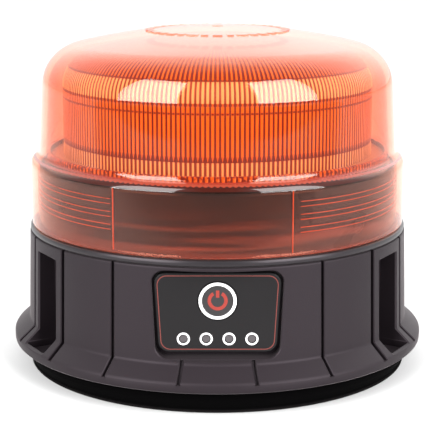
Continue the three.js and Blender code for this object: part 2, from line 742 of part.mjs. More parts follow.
function chargeJack() {
  const { z } = PORT;
  const housing = block([-JACK.half, JACK.back, z - 5], [JACK.half, 66, z + 5]);
  const nose = crossRod(JACK.nose, 65, JACK.mouth, 0, z, 24);
  const socket = crossRod(JACK.socket, 60.5, JACK.mouth + 1, 0, z, 24);
  const pin = crossRod(JACK.pin, 60, JACK.mouth - 3, 0, z);
  return join(cut(join(housing, nose), [socket]), pin);
}

function chargeBoard() {
  const { halfWidth, halfHeight, front, back } = CHARGE_BOARD;
  const board = block([-halfWidth, front, PORT.z - halfHeight], [halfWidth, back, PORT.z + halfHeight]);
  const plug = block([-5, front - 4.4, PORT.z + 2], [5, front + 0.2, PORT.z + 7]);
  return join(board, plug);
}

// The flap, the tapered bung that closes the socket and the tab that lifts it.
function portCover() {
  const { halfWidth, floor, face, coverBottom, coverTop, z } = PORT;
  const flap = block([-halfWidth, floor + GAP, coverBottom], [halfWidth, face, coverTop]);
  const bung = new THREE.CylinderGeometry(2.5, 1.7, 2.6, 16).translate(0, floor - 0.7, z);
  const tab = block([-4, face - 1.2, coverBottom - 0.2], [4, face + 0.7, coverBottom + 1.6]);
  return join(flap, bung, tab);
}

function coverAnchor() {
  const tab = block([-6, PORT.floor + GAP, PORT.coverTop + 0.4], [6, PORT.face, PORT.anchorTop]);
  return join(tab, crossRod(ANCHOR_STEM.radius, ANCHOR_STEM.end, PORT.floor + 1, 0, ANCHOR_STEM.z));
}

// ---------------------------------------------------------------- leads

const LEADS = {
  led_lead: {
    radius: 1.6,
    points: [[0, 22, 64.8], [0, 20, 68], [0, 8, 71], [0, 1, 76], [0, 0, 86], [0, 0, 100]],
  },
  battery_lead: {
    radius: 1.4,
    points: [[42, 12, 30], [50, 14, 34], [50, 14, 48], [40, 14, 57], [30, 14, 57]],
  },
  switch_lead: {
    radius: 1.4,
    points: [[0, -51.5, 30.5], [0, -46, 32], [0, -42, 44], [0, -37, 57], [0, -35, 58.5]],
  },
  charge_lead: {
    radius: 1.4,
    points: [[0, 52, 39.5], [0, 46, 42], [0, 40, 50], [0, 34, 57.5], [0, 28.6, 58]],
  },
};

// ---------------------------------------------------------------- finishes and assembly

const finish = (color, roughness, metalness = 0) =>
  new THREE.MeshStandardMaterial({ color, roughness, metalness });

const shellBlack = finish(0x2c292b, 0.55);
const chassisBlack = finish(0x1d1b1c, 0.35);
const rubberBlack = finish(0x0c0c0c, 0.85);
const amber = finish(0xf0480c, 0.06);
const steel = finish(0xb4b6ba, 0.3, 1);
const screwSteel = finish(0x8e9094, 0.35, 1);
const aluminium = finish(0xc6c8cb, 0.4, 1);
const ferrite = finish(0x35363a, 0.6);
const white = finish(0xf2f2f0, 0.4);
const board = finish(0x1d5a34, 0.5);
const ledWhite = finish(0xe8e6df, 0.5);
const cellBlue = finish(0x2b62a8, 0.4);
const holderGrey = finish(0x3a3b3e, 0.6);
const panelBlack = finish(0x232123, 0.4);
const keyBlack = finish(0x1a1819, 0.45);
const clear = finish(0x6d686c, 0.2);
const jackBlack = finish(0x141414, 0.4);
const leadRed = finish(0xa8221c, 0.5);

const beacon = new THREE.Group();

function add(name, geometry, material, parent = beacon) {
  const mesh = new THREE.Mesh(geometry, material);
  mesh.name = name;
  parent.add(mesh);
  return mesh;
}

// One named copy for each angle, each at the same radius.
function addRound(name, make, material, radius, angles) {
  angles.forEach((angle, i) => {
    const [x, y] = polar(radius, angle);
    add(`${name}_${i + 1}`, make(), material).position.set(x, y, 0);
  });
}

add("magnet_pad", magnetPad(), rubberBlack);
add("ring_magnet", ringMagnet(), ferrite);
add("backing_plate", backingPlate(), steel);
addRound("magnet_screw", magnetScrew, screwSteel, MAGNET_SCREW.radius, MAGNET_SCREW_ANGLES);

add("base_shell", baseShell(), shellBlack);
addRound("body_screw", bodyScrew, screwSteel, BODY_SCREW.radius, BODY_SCREW_ANGLES);

add("chassis", chassis(), chassisBlack);
add("lens_seal", lensSeal(), rubberBlack);
add("outer_lens", outerLens(), amber);
add("inner_lens", innerLens(), amber);
add("reflector_plate", reflectorPlate(), white);

add("heat_sink", heatSink(), aluminium);
HEX_SIDES.forEach((angle, i) => {
  add(`led_board_${i + 1}`, ledBoard(), ledWhite).rotation.z = radians(angle);
});
add("tower_cap", towerCap(), white);
addRound("tower_screw", towerScrew, screwSteel, TOWER_SCREW.radius, TOWER_SCREW_ANGLES);

add("main_board", mainBoard(), board);
addRound("board_screw", boardScrew, screwSteel, BOARD_SCREW.radius, BOARD_SCREW_ANGLES);

add("battery_holder", batteryHolder(), holderGrey);
CELL_XS.forEach((x, i) => add(`battery_cell_${i + 1}`, batteryCell(x), cellBlue));
add("battery_cover", batteryCover(), holderGrey);
BATTERY_EARS.forEach(([x, y], i) => {
  add(`battery_screw_${i + 1}`, batteryScrew(), screwSteel).position.set(x, y, 0);
});

add("control_panel", controlPanel(), panelBlack);
add("panel_gasket", panelGasket(), rubberBlack);
add("power_button", powerButton(), keyBlack);
add("tact_switch", tactSwitch(), jackBlack);
add("switch_plunger", switchPlunger(), jackBlack);
add("switch_board", switchBoard(), board);
[0, 1].forEach((i) => add(`switch_board_screw_${i + 1}`, switchBoardScrew(i), screwSteel));
INDICATOR_XS.forEach((_, i) => add(`light_pipe_${i + 1}`, lightPipe(i), clear));

add("charge_jack", chargeJack(), jackBlack);
add("charge_board", chargeBoard(), board);
add("port_cover", portCover(), rubberBlack);
add("cover_anchor", coverAnchor(), rubberBlack);

Object.entries(LEADS).forEach(([name, run]) => add(name, lead(run), leadRed));

export default beacon;
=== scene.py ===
"""An amber warning beacon with a fluted lens under a smooth dome, on a magnetic foot."""

import json
import math

import bmesh
import bpy
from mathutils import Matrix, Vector

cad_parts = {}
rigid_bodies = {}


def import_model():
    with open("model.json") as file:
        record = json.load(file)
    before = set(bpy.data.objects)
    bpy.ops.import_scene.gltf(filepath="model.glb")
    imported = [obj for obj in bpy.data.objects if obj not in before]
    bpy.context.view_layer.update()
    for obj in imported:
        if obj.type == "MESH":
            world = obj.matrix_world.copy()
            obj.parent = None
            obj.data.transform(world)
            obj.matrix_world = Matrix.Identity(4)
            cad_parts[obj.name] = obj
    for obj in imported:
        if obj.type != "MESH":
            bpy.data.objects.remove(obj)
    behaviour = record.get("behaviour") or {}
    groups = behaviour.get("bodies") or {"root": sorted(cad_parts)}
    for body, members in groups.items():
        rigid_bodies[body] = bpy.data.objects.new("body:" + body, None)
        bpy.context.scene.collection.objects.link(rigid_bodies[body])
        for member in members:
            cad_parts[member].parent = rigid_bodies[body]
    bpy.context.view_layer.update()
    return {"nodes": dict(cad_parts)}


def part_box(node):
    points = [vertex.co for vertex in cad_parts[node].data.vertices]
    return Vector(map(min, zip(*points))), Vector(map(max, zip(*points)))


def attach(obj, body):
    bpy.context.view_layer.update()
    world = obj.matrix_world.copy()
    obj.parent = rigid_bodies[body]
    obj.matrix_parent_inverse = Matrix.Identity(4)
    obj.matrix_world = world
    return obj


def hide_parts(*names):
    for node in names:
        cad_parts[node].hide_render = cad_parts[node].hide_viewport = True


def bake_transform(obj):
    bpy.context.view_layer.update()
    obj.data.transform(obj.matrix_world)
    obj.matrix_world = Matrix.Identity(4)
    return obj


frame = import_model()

MM = 0.001


# ---- sizes, in millimetres

def box_mm(node):
    low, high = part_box(node)
    return low / MM, high / MM


PAD_LOW, PAD_HIGH = box_mm("magnet_pad")
SHELL_LOW, SHELL_HIGH = box_mm("base_shell")
CHASSIS_LOW, CHASSIS_HIGH = box_mm("chassis")
LENS_LOW, LENS_HIGH = box_mm("outer_lens")
OPTIC_BOTTOM = box_mm("inner_lens")[0].z
PANEL_LOW, PANEL_HIGH = box_mm("control_panel")
KEY_LOW, KEY_HIGH = box_mm("power_button")
FLAP_LOW, FLAP_HIGH = box_mm("port_cover")
ANCHOR_LOW, ANCHOR_HIGH = box_mm("cover_anchor")
JACK_LOW, JACK_HIGH = box_mm("charge_jack")

ROUND = 256  # segments round the large turned pieces
SMALL_ROUND = 48

# Base shell
FLANGE_RADIUS = SHELL_HIGH.x
SHELL_BOTTOM = SHELL_LOW.z
SHELL_TOP = SHELL_HIGH.z
RIM_TOP = SHELL_BOTTOM + 3.6
BREAK = (74.1, 17.7)  # radius and height where the flange's slope meets the wall
WALL_TOP_RADIUS = 73.1
SHELL_INNER_RADIUS = 70
SHELL_FLOOR = 12
FRAME_RADIUS = 70.9  # behind the panel and behind the charging port
SCREW_ANGLES, SCREW_RING = (38, 142, 218, 322), 60  # the long screws between chassis and shell
GROOVE_WIDTH, GROOVE_DEPTH, GROOVE_FOOT = 1.2, 1.6, 11.8
POCKET_GROOVE_WIDTH = 1.9  # the grooves beside a pocket are wider
EDGE = 0.35  # chamfer along grooves and openings
POCKET_ANGLES = (60, 120, 240, 300)
POCKET_GROOVE = 9.9  # degrees from a pocket's centre to the grooves beside it
POCKET_HALF, POCKET_BACK_HALF, POCKET_BACK = 7.8, 7.2, 66.5
POCKET_FLOOR, POCKET_FOOT, POCKET_TOP, POCKET_LIP = 10.8, 12.9, 47.5, 78.4
POCKET_WALL = 2.1
POCKET_STOPS = (17.0, 17.7, 18.4, 26, 36)  # heights where the pocket's sides follow the wall
PANEL_GROOVE = 30.3  # degrees from the panel's middle to the grooves beside it
NOTCH = 9.9  # and to the short grooves under it

# Lens and fluted optic
BAND_RADIUS = LENS_HIGH.x
BAND_TOP = 78.2
DOME_FOOT = (68.9, 82.8)
DOME_ROUND = (67.4, 106.95, 17.1, 16.6, 76.6)  # radius, height, inwards, upwards, degrees
LENS_WALL = 2.5
OPTIC_ROUND = (59.5, 107.5, 18, 14.6, 80)
OPTIC_WALL = 2.2
TEETH_RADIUS, TEETH_TOP = 66.0, 82.7  # the toothed ring round the optic's foot
FLUTES = 216
OPTIC_ROWS = {  # lowest and highest point of each row of the painted light on the flutes, and how soft its ends are
    "low_row": (80.0, 86.3, 0.3), "tips": (86.5, 88.6, 0.3), "wall": (88.8, 106.0, 0.3),
    "dots": (103.2, 103.8, 0.2), "ledge": (106.2, 107.2, 0.2), "high_row": (107.4, 114.3, 0.4),
}
CROWN_START = (114.8, 115.4)
UPRIGHT_RIBS = (-31.9, 22.1)  # degrees from the front
LEVEL_RIBS = (72.8, 68.2, 63.6)
LEVEL_RIB_SIDES = ((-33, -118), (24.65, 118))
MARK_RING = 26.2  # radius of the ring of dashes on the dome

# Control panel
PANEL_FACE = PANEL_LOW.y
PANEL_BACK = PANEL_HIGH.y
PANEL_HALF_TOP = PANEL_HIGH.x
PANEL_HALF_BOTTOM = PANEL_HALF_TOP - 1.55
PANEL_CORNER = 4
KEY_RADIUS, KEY_Z = 6.8, 39.7
PIPE_RADIUS = 1.5
PORT_Z = 35

# ---- node trees written as sums


class Wire:
    """A node's output that can be used in sums."""

    def __init__(self, tree, socket):
        self.tree = tree
        self.socket = socket

    def sum(self, operation, *values):
        node = self.tree.nodes.new("ShaderNodeMath")
        node.operation = operation
        for i, value in enumerate(values):
            feed(self.tree, node.inputs[i], value)
        return Wire(self.tree, node.outputs[0])

    def __pow__(self, other):
        return self.sum("POWER", self, other)

    def size(self):
        return self.sum("ABSOLUTE", self)

    def part(self):
        """What is left after the whole number."""
        return self.sum("FRACT", self)

    def whole(self):
        return self.sum("FLOOR", self)

    def least(self, other):
        return self.sum("MINIMUM", self, other)

    def rise(self, low, high):
        """0 below low and 1 above high, with a smooth step between."""
        node = self.tree.nodes.new("ShaderNodeMapRange")
        node.interpolation_type = "SMOOTHSTEP"
        feed(self.tree, node.inputs["Value"], self)
        feed(self.tree, node.inputs["From Min"], low)
        feed(self.tree, node.inputs["From Max"], high)
        return Wire(self.tree, node.outputs["Result"])

    def between(self, low, high, soft):
        """1 from low to high, with soft edges outside."""
        return self.rise(low - soft, low) * (1 - self.rise(high, high + soft))


for sign, operation in (("add", "ADD"), ("sub", "SUBTRACT"), ("mul", "MULTIPLY"), ("truediv", "DIVIDE")):
    setattr(Wire, f"__{sign}__", lambda self, other, by=operation: self.sum(by, self, other))
    setattr(Wire, f"__r{sign}__", lambda self, other, by=operation: self.sum(by, other, self))


def feed(tree, socket, value):
    if isinstance(value, Wire):
        tree.links.new(value.socket, socket)
    else:
        socket.default_value = value


class Recipe:
    """A node tree of a material or the world."""

    def __init__(self, tree):
        self.tree = tree
        tree.nodes.clear()

    def node(self, kind, output=0, settings=(), **values):
        """Any node: its settings first, then its inputs by name with spaces written as _."""
        made = self.tree.nodes.new(kind)
        for name, value in dict(settings).items():
            setattr(made, name, value)
        for name, value in values.items():
            feed(self.tree, made.inputs[name.replace("_", " ")], value)
        return Wire(self.tree, made.outputs[output])

    def place(self):
        """x, y and z in millimetres, from the object's own coordinates."""
        coordinates = self.node("ShaderNodeTexCoord", "Object")
        split = self.tree.nodes.new("ShaderNodeSeparateXYZ")
        self.tree.links.new(coordinates.socket, split.inputs[0])
        axes = [Wire(self.tree, output) / MM for output in split.outputs]
        return coordinates, axes

    def noise(self, where, scale, detail=2.0, roughness=0.5):
        """Noise from 0 to 1. scale is in waves per metre."""
        return self.node(
            "ShaderNodeTexNoise", "Fac", Vector=where, Scale=scale, Detail=detail, Roughness=roughness)

    def blend(self, share, first, second):
        """first where share is 0 and second where it is 1. Both are colours."""
        made = self.tree.nodes.new("ShaderNodeMix")
        made.data_type = "RGBA"
        feed(self.tree, made.inputs[0], share)
        feed(self.tree, made.inputs[6], first if isinstance(first, Wire) else (*first, 1))
        feed(self.tree, made.inputs[7], second if isinstance(second, Wire) else (*second, 1))
        return Wire(self.tree, made.outputs[2])

    def bump(self, height, distance):
        """A bump whose height is in millimetres times distance."""
        return self.node("ShaderNodeBump", Height=height, Distance=distance * MM, Strength=1.0)

    def mix_shaders(self, share, first, second):
        made = self.tree.nodes.new("ShaderNodeMixShader")
        feed(self.tree, made.inputs[0], share)
        feed(self.tree, made.inputs[1], first)
        feed(self.tree, made.inputs[2], second)
        return Wire(self.tree, made.outputs[0])

    def finish(self, shader, kind="ShaderNodeOutputMaterial"):
        self.tree.links.new(shader.socket, self.tree.nodes.new(kind).inputs[0])

    def surface(self, **values):
        """Ends the tree with one Principled shader."""
        self.finish(self.node("ShaderNodeBsdfPrincipled", **values))


def material(name):
    made = bpy.data.materials.new(name)
    made.use_nodes = True
    return made, Recipe(made.node_tree)


def worn(name, colour, roughness, grain=900.0, depth=0.02, shift=0.12, metallic=0.0, **constants):
    """A plain material with a fine grain, small changes of tone and uneven gloss."""
    made, r = material(name)
    where, _ = r.place()
    broad = r.noise(where, 35.0, 3.0)
    fine = r.noise(where, grain, 2.0)
    dark = tuple(c * (1 - shift) for c in colour)
    light = tuple(min(c * (1 + shift), 1.0) for c in colour)
    tone = r.blend(broad * 0.7 + fine * 0.3, dark, light)
    gloss = roughness * (0.88 + broad * 0.16 + fine * 0.08)
    r.surface(
        Base_Color=tone, Roughness=gloss, Metallic=metallic, Normal=r.bump(fine, depth), **constants)
    return made


def moulded_shell():
    """Dark grey moulded plastic with a fine spark-eroded grain."""
    made, r = material("moulded_shell")
    where, _ = r.place()
    broad = r.noise(where, 22.0, 3.0)
    grain = r.noise(where, 1500.0, 2.0, 0.6)
    tone = r.blend(broad * 0.6 + grain * 0.4, (0.0066, 0.0045, 0.0058), (0.0105, 0.0076, 0.0094))
    gloss = 0.46 + broad * 0.06 + grain * 0.08
    r.surface(
        Base_Color=tone, Roughness=gloss, Normal=r.bump(grain, 0.03), Specular_IOR_Level=0.24,
        Specular_Tint=(1.0, 0.87, 0.96, 1), Sheen_Weight=0.2, Sheen_Roughness=0.25,
        Sheen_Tint=(1.0, 0.86, 0.9, 1))
    return made


def chassis_black():
    """Black, glossy plastic with a faint ripple."""
    made, r = material("chassis_black")
    where, _ = r.place()
    ripple = r.noise(where, 60.0, 2.0)
    tone = r.blend(ripple, (0.012, 0.011, 0.012), (0.02, 0.018, 0.02))
    r.surface(
        Base_Color=tone, Roughness=0.24 + ripple * 0.1, Normal=r.bump(ripple, 0.05),
        Specular_IOR_Level=0.28, Specular_Tint=(1.0, 0.87, 0.94, 1))
    return made


def foot_rubber():
    """Matt black rubber, a little grey where it is rubbed near the ground."""
    made, r = material("foot_rubber")
    where, (_, _, z) = r.place()
    grain = r.noise(where, 1100.0, 3.0, 0.65)
    dust = r.noise(where, 120.0, 4.0, 0.6)
    rubbed = (1 - z.rise(0.4, 1.6)) * (0.4 + dust * 0.6)
    tone = r.blend(rubbed, (0.0006, 0.0005, 0.0006), (0.01, 0.0087, 0.009))
    r.surface(
        Base_Color=tone, Roughness=0.8 + grain * 0.12, Normal=r.bump(grain, 0.05), Specular_IOR_Level=0.03)
    return made


FACE_TINT = (1.0, 0.757, 0.655)  # what one face of the wall lets through, seen straight on
SLANT_TINT = (0.98, 0.56, 0.4)  # and seen at a low angle, where the way through the wall is long


def flutes_at(x, y):
    """A count that rises by 1 from flute to flute."""
    return x.sum("ARCTAN2", x, y * -1) * (FLUTES / (2 * math.pi)) + 1000.5


def clear_amber():
    """Clear amber plastic. Each face of the wall tints what is seen through it, and mirrors at a low angle.

    Painted glow stands in for light that the thick plastic carries: in the dome's foot, in the band's lower
    edge and in faint level streaks of the band. The lip between band and dome gets the thick plastic's dark
    red with painted shade.
    """
    made, r = material("clear_amber")
    where, (x, y, z) = r.place()
    facing = r.node("ShaderNodeLayerWeight", "Facing", Blend=0.5)
    band = 1 - z.rise(76.5, 78.5)
    mirror = 0.03 + (0.97 - 0.1 * band) * facing ** 5
    slanting = facing.rise(0.3, 0.8) * (1 - band * 0.7 - z.rise(120, 126) * 0.8) + band * 0.25
    through = r.mix_shaders(
        slanting, r.node("ShaderNodeBsdfTransparent", Color=(*FACE_TINT, 1)),
        r.node("ShaderNodeBsdfTransparent", Color=(*SLANT_TINT, 1)))
    gloss = r.node("ShaderNodeBsdfGlossy", Color=(1, 1, 1, 1), Roughness=0.03)

    tooth = (flutes_at(x, y).part() - 0.5).size() * 2
    bright = z.between(80.15 + 0.35 * tooth, 80.95, 0.12)  # painted glow in the dome's foot over the toothed ring
    thick_lip_and_shade = z.between(78.7, 80.3, 0.12)  # the lip between band and dome: the thick plastic's own dark red with painted shade
    seam = z.between(78.4, 78.6, 0.08)
    pool = 1 - z.rise(55.6, 62.0)  # painted glow that gathers towards the band's lower edge
    # painted glow along the band's lower edge
    edge = 1 - z.rise(55.45, 55.75)
    # faint level streaks of painted glow in the band
    level = r.node("ShaderNodeMapping", Vector=where, Scale=(1.0, 1.0, 26.0))
    streaks = r.noise(level, 16.0, 3.0).rise(0.35, 0.7) * (1 - z.rise(60, 78)) * band
    lip = (thick_lip_and_shade * 0.93 + seam * 0.95) * (1 - facing.rise(0.32, 0.55))
    # share of the opaque layer: painted glow, painted shade and the dark seam
    painted_light_and_seam = (bright * 0.9 + lip + streaks * 0.14 + pool * 0.04 + edge * 0.04).least(1.0)
    # dark red painted shade for the lip, near black on the seam
    dark = r.blend(seam, (0.03, 0.002, 0.0), (0.002, 0.001, 0.0))
    # the painted glow's colour in the dome's foot
    tone = r.blend(bright, dark, (0.2, 0.021, 0.006))
    # the painted glow's colour in the band
    tone = r.blend((streaks + pool + edge).least(1.0) * band, tone, (0.42, 0.07, 0.035))
    # the opaque layer: painted colour with painted emission, though the lens is no lamp
    glow = r.node(
        "ShaderNodeBsdfPrincipled", Base_Color=tone, Roughness=0.3, Specular_IOR_Level=0.1,
        Emission_Color=tone, Emission_Strength=0.3)
    body = r.mix_shaders(painted_light_and_seam, through, glow)
    r.finish(r.mix_shaders(mirror, body, gloss))
    return made


def rib_amber():
    """The thick ribs inside the band. The light they carry along them is painted, as a glow."""
    made, r = material("rib_amber")
    where, _ = r.place()
    uneven = r.noise(where, 160.0, 2.0)
    tone = r.blend(uneven, (0.25, 0.03, 0.005), (0.6, 0.11, 0.02))
    # painted emission: the ribs glow though they are no lamp
    r.surface(Base_Color=tone, Roughness=0.2 + uneven * 0.1, Emission_Color=tone, Emission_Strength=0.2)
    return made


def fluted_amber():
    """Amber optic. The light each flute gathers is painted: a highlight down its middle, painted shade
    between flutes and painted emission, in rows that change with height.
    """
    made, r = material("fluted_amber")
    where, (x, y, z) = r.place()
    count = flutes_at(x, y)
    centred = 1 - ((count.part() - 0.5) * 2).size()  # 1 on a flute's middle, 0 between flutes
    own = r.node(
        "ShaderNodeTexWhiteNoise", "Value", settings={"noise_dimensions": "1D"}, W=count.whole())
    slow = r.noise(where, 28.0, 2.0)
    speck = r.noise(where, 900.0, 2.0, 0.6)
    reach = (x * x + y * y) ** 0.5

    teeth = reach.rise(TEETH_RADIUS - 2.0, TEETH_RADIUS - 1.6)
    row = {name: z.between(*ends) for name, ends in OPTIC_ROWS.items()}
    crown = z.rise(*CROWN_START)

    taper = (z - 88) / 18  # the painted highlight widens up the wall
    wide = centred.rise(0.4 - 0.1 * taper, 0.56 - 0.1 * taper)
    narrow = centred.rise(0.5, 0.62)
    thin = centred.rise(0.52, 0.68)
    point = centred.rise(0.98 - 0.28 * (z - 86.5), 1.1 - 0.28 * (z - 86.5))
    broad = centred.rise(0.4, 0.55)
    dots = row["dots"] * centred.rise(0.4, 0.6)
    tooth = centred.rise(0.3, 0.5) * z.rise(80.2, 80.8) * speck.rise(0.36, 0.56)

    # painted highlights down the flutes' middles, row by row; the dots darken them, and the toothed ring
    # gets speckled ones
    flute_highlight = (row["low_row"] * narrow + row["tips"] * point * 0.7 + row["wall"] * wide
              + row["ledge"] * thin * 0.5 + row["high_row"] * broad + crown * thin)
    flute_highlight = flute_highlight * (1 - dots * 0.95) * (0.8 + own * 0.14 + slow * 0.12)
    flute_highlight = flute_highlight * (1 - teeth) + teeth * tooth * 0.8
    # the rows with the most painted light, in gold
    bright_rows = (row["low_row"] * 0.85 + row["high_row"]).least(1.0) * (1 - teeth)

    # painted shade between flutes, and painted light on the flutes
    gap_shade = r.blend(bright_rows, (0.1, 0.006, 0.0), (0.16, 0.03, 0.008))
    lit = r.blend(bright_rows, (0.52, 0.16, 0.0), (0.6, 0.47, 0.21))
    tone = r.blend(flute_highlight, gap_shade, lit)
    # painted emission: the optic glows though it is no lamp
    r.surface(Base_Color=tone, Roughness=0.25 + slow * 0.1, Emission_Color=tone, Emission_Strength=0.3)
    return made


def printed(name, colour):
    """Screen-printed ink, a little uneven."""
    made, r = material(name)
    where, _ = r.place()
    uneven = r.noise(where, 700.0, 2.0)
    tone = r.blend(uneven, tuple(c * 0.85 for c in colour), colour)
    r.surface(Base_Color=tone, Roughness=0.4 + uneven * 0.15)
    return made


def brushed_metal(name, colour, roughness):
    """Metal with fine lines of wear."""
    made, r = material(name)
    where, _ = r.place()
    stretch = r.node("ShaderNodeMapping", Vector=where, Scale=(1.0, 1.0, 12.0))
    lines = r.noise(stretch, 420.0, 3.0)
    tone = r.blend(lines, tuple(c * 0.82 for c in colour), colour)
    r.surface(
        Base_Color=tone, Metallic=1.0, Roughness=roughness * (0.8 + lines * 0.4),
        Normal=r.bump(lines, 0.01))
    return made


def circuit_board():
    """Green board with lighter tracks and round pads."""
    made, r = material("circuit_board")
    where, (x, y, _) = r.place()
    tracks = (((x + y) / 3).part() - 0.5).size().rise(0.36, 0.44)
    tracks = tracks * r.noise(where, 90.0, 1.0).rise(0.45, 0.5)
    spots = r.node("ShaderNodeTexVoronoi", "Distance", Vector=where, Scale=260.0)
    pads = 1 - spots.rise(0.16, 0.2)
    green = r.blend(tracks, (0.01, 0.085, 0.03), (0.025, 0.17, 0.06))
    tone = r.blend(pads * 0.8, green, (0.62, 0.58, 0.42))
    r.surface(Base_Color=tone, Roughness=0.42 - pads * 0.12, Metallic=pads * 0.7)
    return made


def led_board():
    """White board whose raised middle is the yellow emitters."""
    made, r = material("led_board")
    where, (x, y, z) = r.place()
    speck = r.noise(where, 500.0, 2.0)
    reach = (x * x + y * y) ** 0.5
    rows = (((z - 95.6) / 9 + 0.5).part() - 0.5).size()
    emitter = (1 - rows.rise(0.2, 0.25)) * reach.rise(19.9, 20.0)
    tone = r.blend(emitter, (0.8, 0.8, 0.77), (0.95, 0.62, 0.05))
    r.surface(Base_Color=tone, Roughness=0.35 + speck * 0.15)
    return made


def cell_wrap():
    """Shrink film, with bare metal at both ends."""
    made, r = material("cell_wrap")
    where, (_, y, _) = r.place()
    crease = r.noise(where, 140.0, 4.0)
    ends = y.size().rise(32.1, 32.4)
    tone = r.blend(ends, r.blend(crease, (0.03, 0.12, 0.4), (0.05, 0.18, 0.5)), (0.6, 0.6, 0.62))
    r.surface(
        Base_Color=tone, Roughness=0.3 + crease * 0.15, Metallic=ends, Normal=r.bump(crease, 0.08))
    return made


# ---- shapes

def turn_point(point, degrees):
    """A point that is made at the front, turned clockwise as seen from above."""
    a = math.radians(degrees)
    x, y, z = point
    return (x * math.cos(a) - y * math.sin(a), x * math.sin(a) + y * math.cos(a), z)


def firm(profile, hold=0.25, long=3.5):
    """Extra points near both ends of long steps, so that smooth shading stays level between roundings."""
    points = [profile[0]]
    for (r0, z0), (r1, z1) in zip(profile, profile[1:]):
        length = math.hypot(r1 - r0, z1 - z0)
        if length > long:
            share = hold / length
            points += [(r0 + (r1 - r0) * t, z0 + (z1 - z0) * t) for t in (share, 1 - share)]
        points.append((r1, z1))
    return points


class Shape:
    """Closed surfaces in millimetres, gathered into one mesh."""

    def __init__(self):
        self.points = []
        self.faces = []
        self.slots = []

    def add(self, points, faces, slot=0):
        first = len(self.points)
        self.points += [tuple(p) for p in points]
        self.faces += [[first + i for i in face] for face in faces]
        self.slots += [slot] * len(faces)
        return self

    def loft(self, loops, slot=0, ring=False):
        """A skin over closed loops of equal length. The ends are capped, or joined in a ring."""
        count = len(loops[0])
        faces = []
        spans = len(loops) if ring else len(loops) - 1
        for i in range(spans):
            a, b = i * count, ((i + 1) % len(loops)) * count
            for j in range(count):
                k = (j + 1) % count
                faces.append((a + j, a + k, b + k, b + j))
        if not ring:
            faces.append(tuple(reversed(range(count))))
            last = (len(loops) - 1) * count
            faces.append(tuple(last + j for j in range(count)))
        return self.add([p for loop in loops for p in loop], faces, slot)

    def turned(self, profile, segments=ROUND, slot=0, axis="Z"):
        """A solid of revolution from (radius, height) pairs, closed at the axis or on its first pair."""
        profile = firm(profile)
        closed = profile[0] == profile[-1]
        rows = profile[:-1] if closed else profile
        points, starts = [], []
        for radius, height in rows:
            starts.append((len(points), radius < 1e-6))
            count = 1 if radius < 1e-6 else segments
            for j in range(count):
                a = 2 * math.pi * j / segments
                points.append((radius * math.sin(a), -radius * math.cos(a), height))
        faces = []
        pairs = list(zip(starts, starts[1:]))
        if closed:
            pairs.append((starts[-1], starts[0]))
        for (a, a_pole), (b, b_pole) in pairs:
            if a_pole and b_pole:
                continue
            for j in range(segments):
                k = (j + 1) % segments
                if a_pole:
                    faces.append((a, b + k, b + j))
                elif b_pole:
                    faces.append((a + j, a + k, b))
                else:
                    faces.append((a + j, a + k, b + k, b + j))
        if axis == "Y":  # height runs along +Y
            points = [(x, z, -y) for x, y, z in points]
        return self.add(points, faces, slot)

    def block(self, low, high, slot=0, edge=0.0):
        """A block from its lowest and highest corners, with its upright edges cut off by edge."""
        (x0, y0, z0), (x1, y1, z1) = low, high
        if edge:
            outline = [(x0 + edge, y0), (x1 - edge, y0), (x1, y0 + edge), (x1, y1 - edge),
                       (x1 - edge, y1), (x0 + edge, y1), (x0, y1 - edge), (x0, y0 + edge)]
        else:
            outline = [(x0, y0), (x1, y0), (x1, y1), (x0, y1)]
        return self.loft([[(x, y, z0) for x, y in outline], [(x, y, z1) for x, y in outline]], slot)

    def turn(self, degrees):
        self.points = [turn_point(p, degrees) for p in self.points]
        return self

    def move(self, x, y, z):
        self.points = [(a + x, b + y, c + z) for a, b, c in self.points]
        return self

    def merge(self, other):
        first = len(self.points)
        self.points += other.points
        self.faces += [[first + i for i in face] for face in other.faces]
        self.slots += other.slots
        return self

    def mesh(self, name, materials=(), sharp=32):
        data = bpy.data.meshes.new(name)
        data.from_pydata([(x * MM, y * MM, z * MM) for x, y, z in self.points], [], self.faces)
        data.polygons.foreach_set("material_index", self.slots)
        tidy_mesh(data, sharp)
        for one in materials:
            data.materials.append(one)
        made = bpy.data.objects.new(name, data)
        bpy.context.scene.collection.objects.link(made)
        return made


def tidy_mesh(data, sharp):
    """Faces outward, smooth shading, and hard edges above an angle in degrees."""
    work = bmesh.new()
    work.from_mesh(data)
    bmesh.ops.remove_doubles(work, verts=work.verts, dist=2e-7)
    bmesh.ops.recalc_face_normals(work, faces=work.faces)
    work.to_mesh(data)
    work.free()
    data.polygons.foreach_set("use_smooth", [True] * len(data.polygons))
    data.set_sharp_from_angle(angle=math.radians(sharp))
    data.update()


def carve(body, cutters, operation="DIFFERENCE"):
    """Cuts shapes out of a mesh object, or joins them on, and leaves a plain mesh."""
    group = bpy.data.collections.new("cutters")
    for i, cutter in enumerate(cutters):
        made = cutter.mesh(f"cutter_{i}")
        bpy.context.scene.collection.objects.unlink(made)
        group.objects.link(made)
    tool = body.modifiers.new("carve", "BOOLEAN")
    tool.operation = operation
    tool.operand_type = "COLLECTION"
    tool.collection = group
    tool.solver = "MANIFOLD"
    settle(body)
    for made in list(group.objects):
        data = made.data
        bpy.data.objects.remove(made)
        bpy.data.meshes.remove(data)
    bpy.data.collections.remove(group)


def settle(made, sharp=32):
    """Turns an object's modifiers into its plain mesh."""
    bpy.context.view_layer.update()
    graph = bpy.context.evaluated_depsgraph_get()
    data = bpy.data.meshes.new_from_object(made.evaluated_get(graph))
    old = made.data
    made.modifiers.clear()
    made.data = data
    bpy.data.meshes.remove(old)
    tidy_mesh(data, sharp)


def put(made, body, slot, *nodes):
    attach(made, body)
    if nodes:
        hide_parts(*nodes)
    return made


# ---- foot

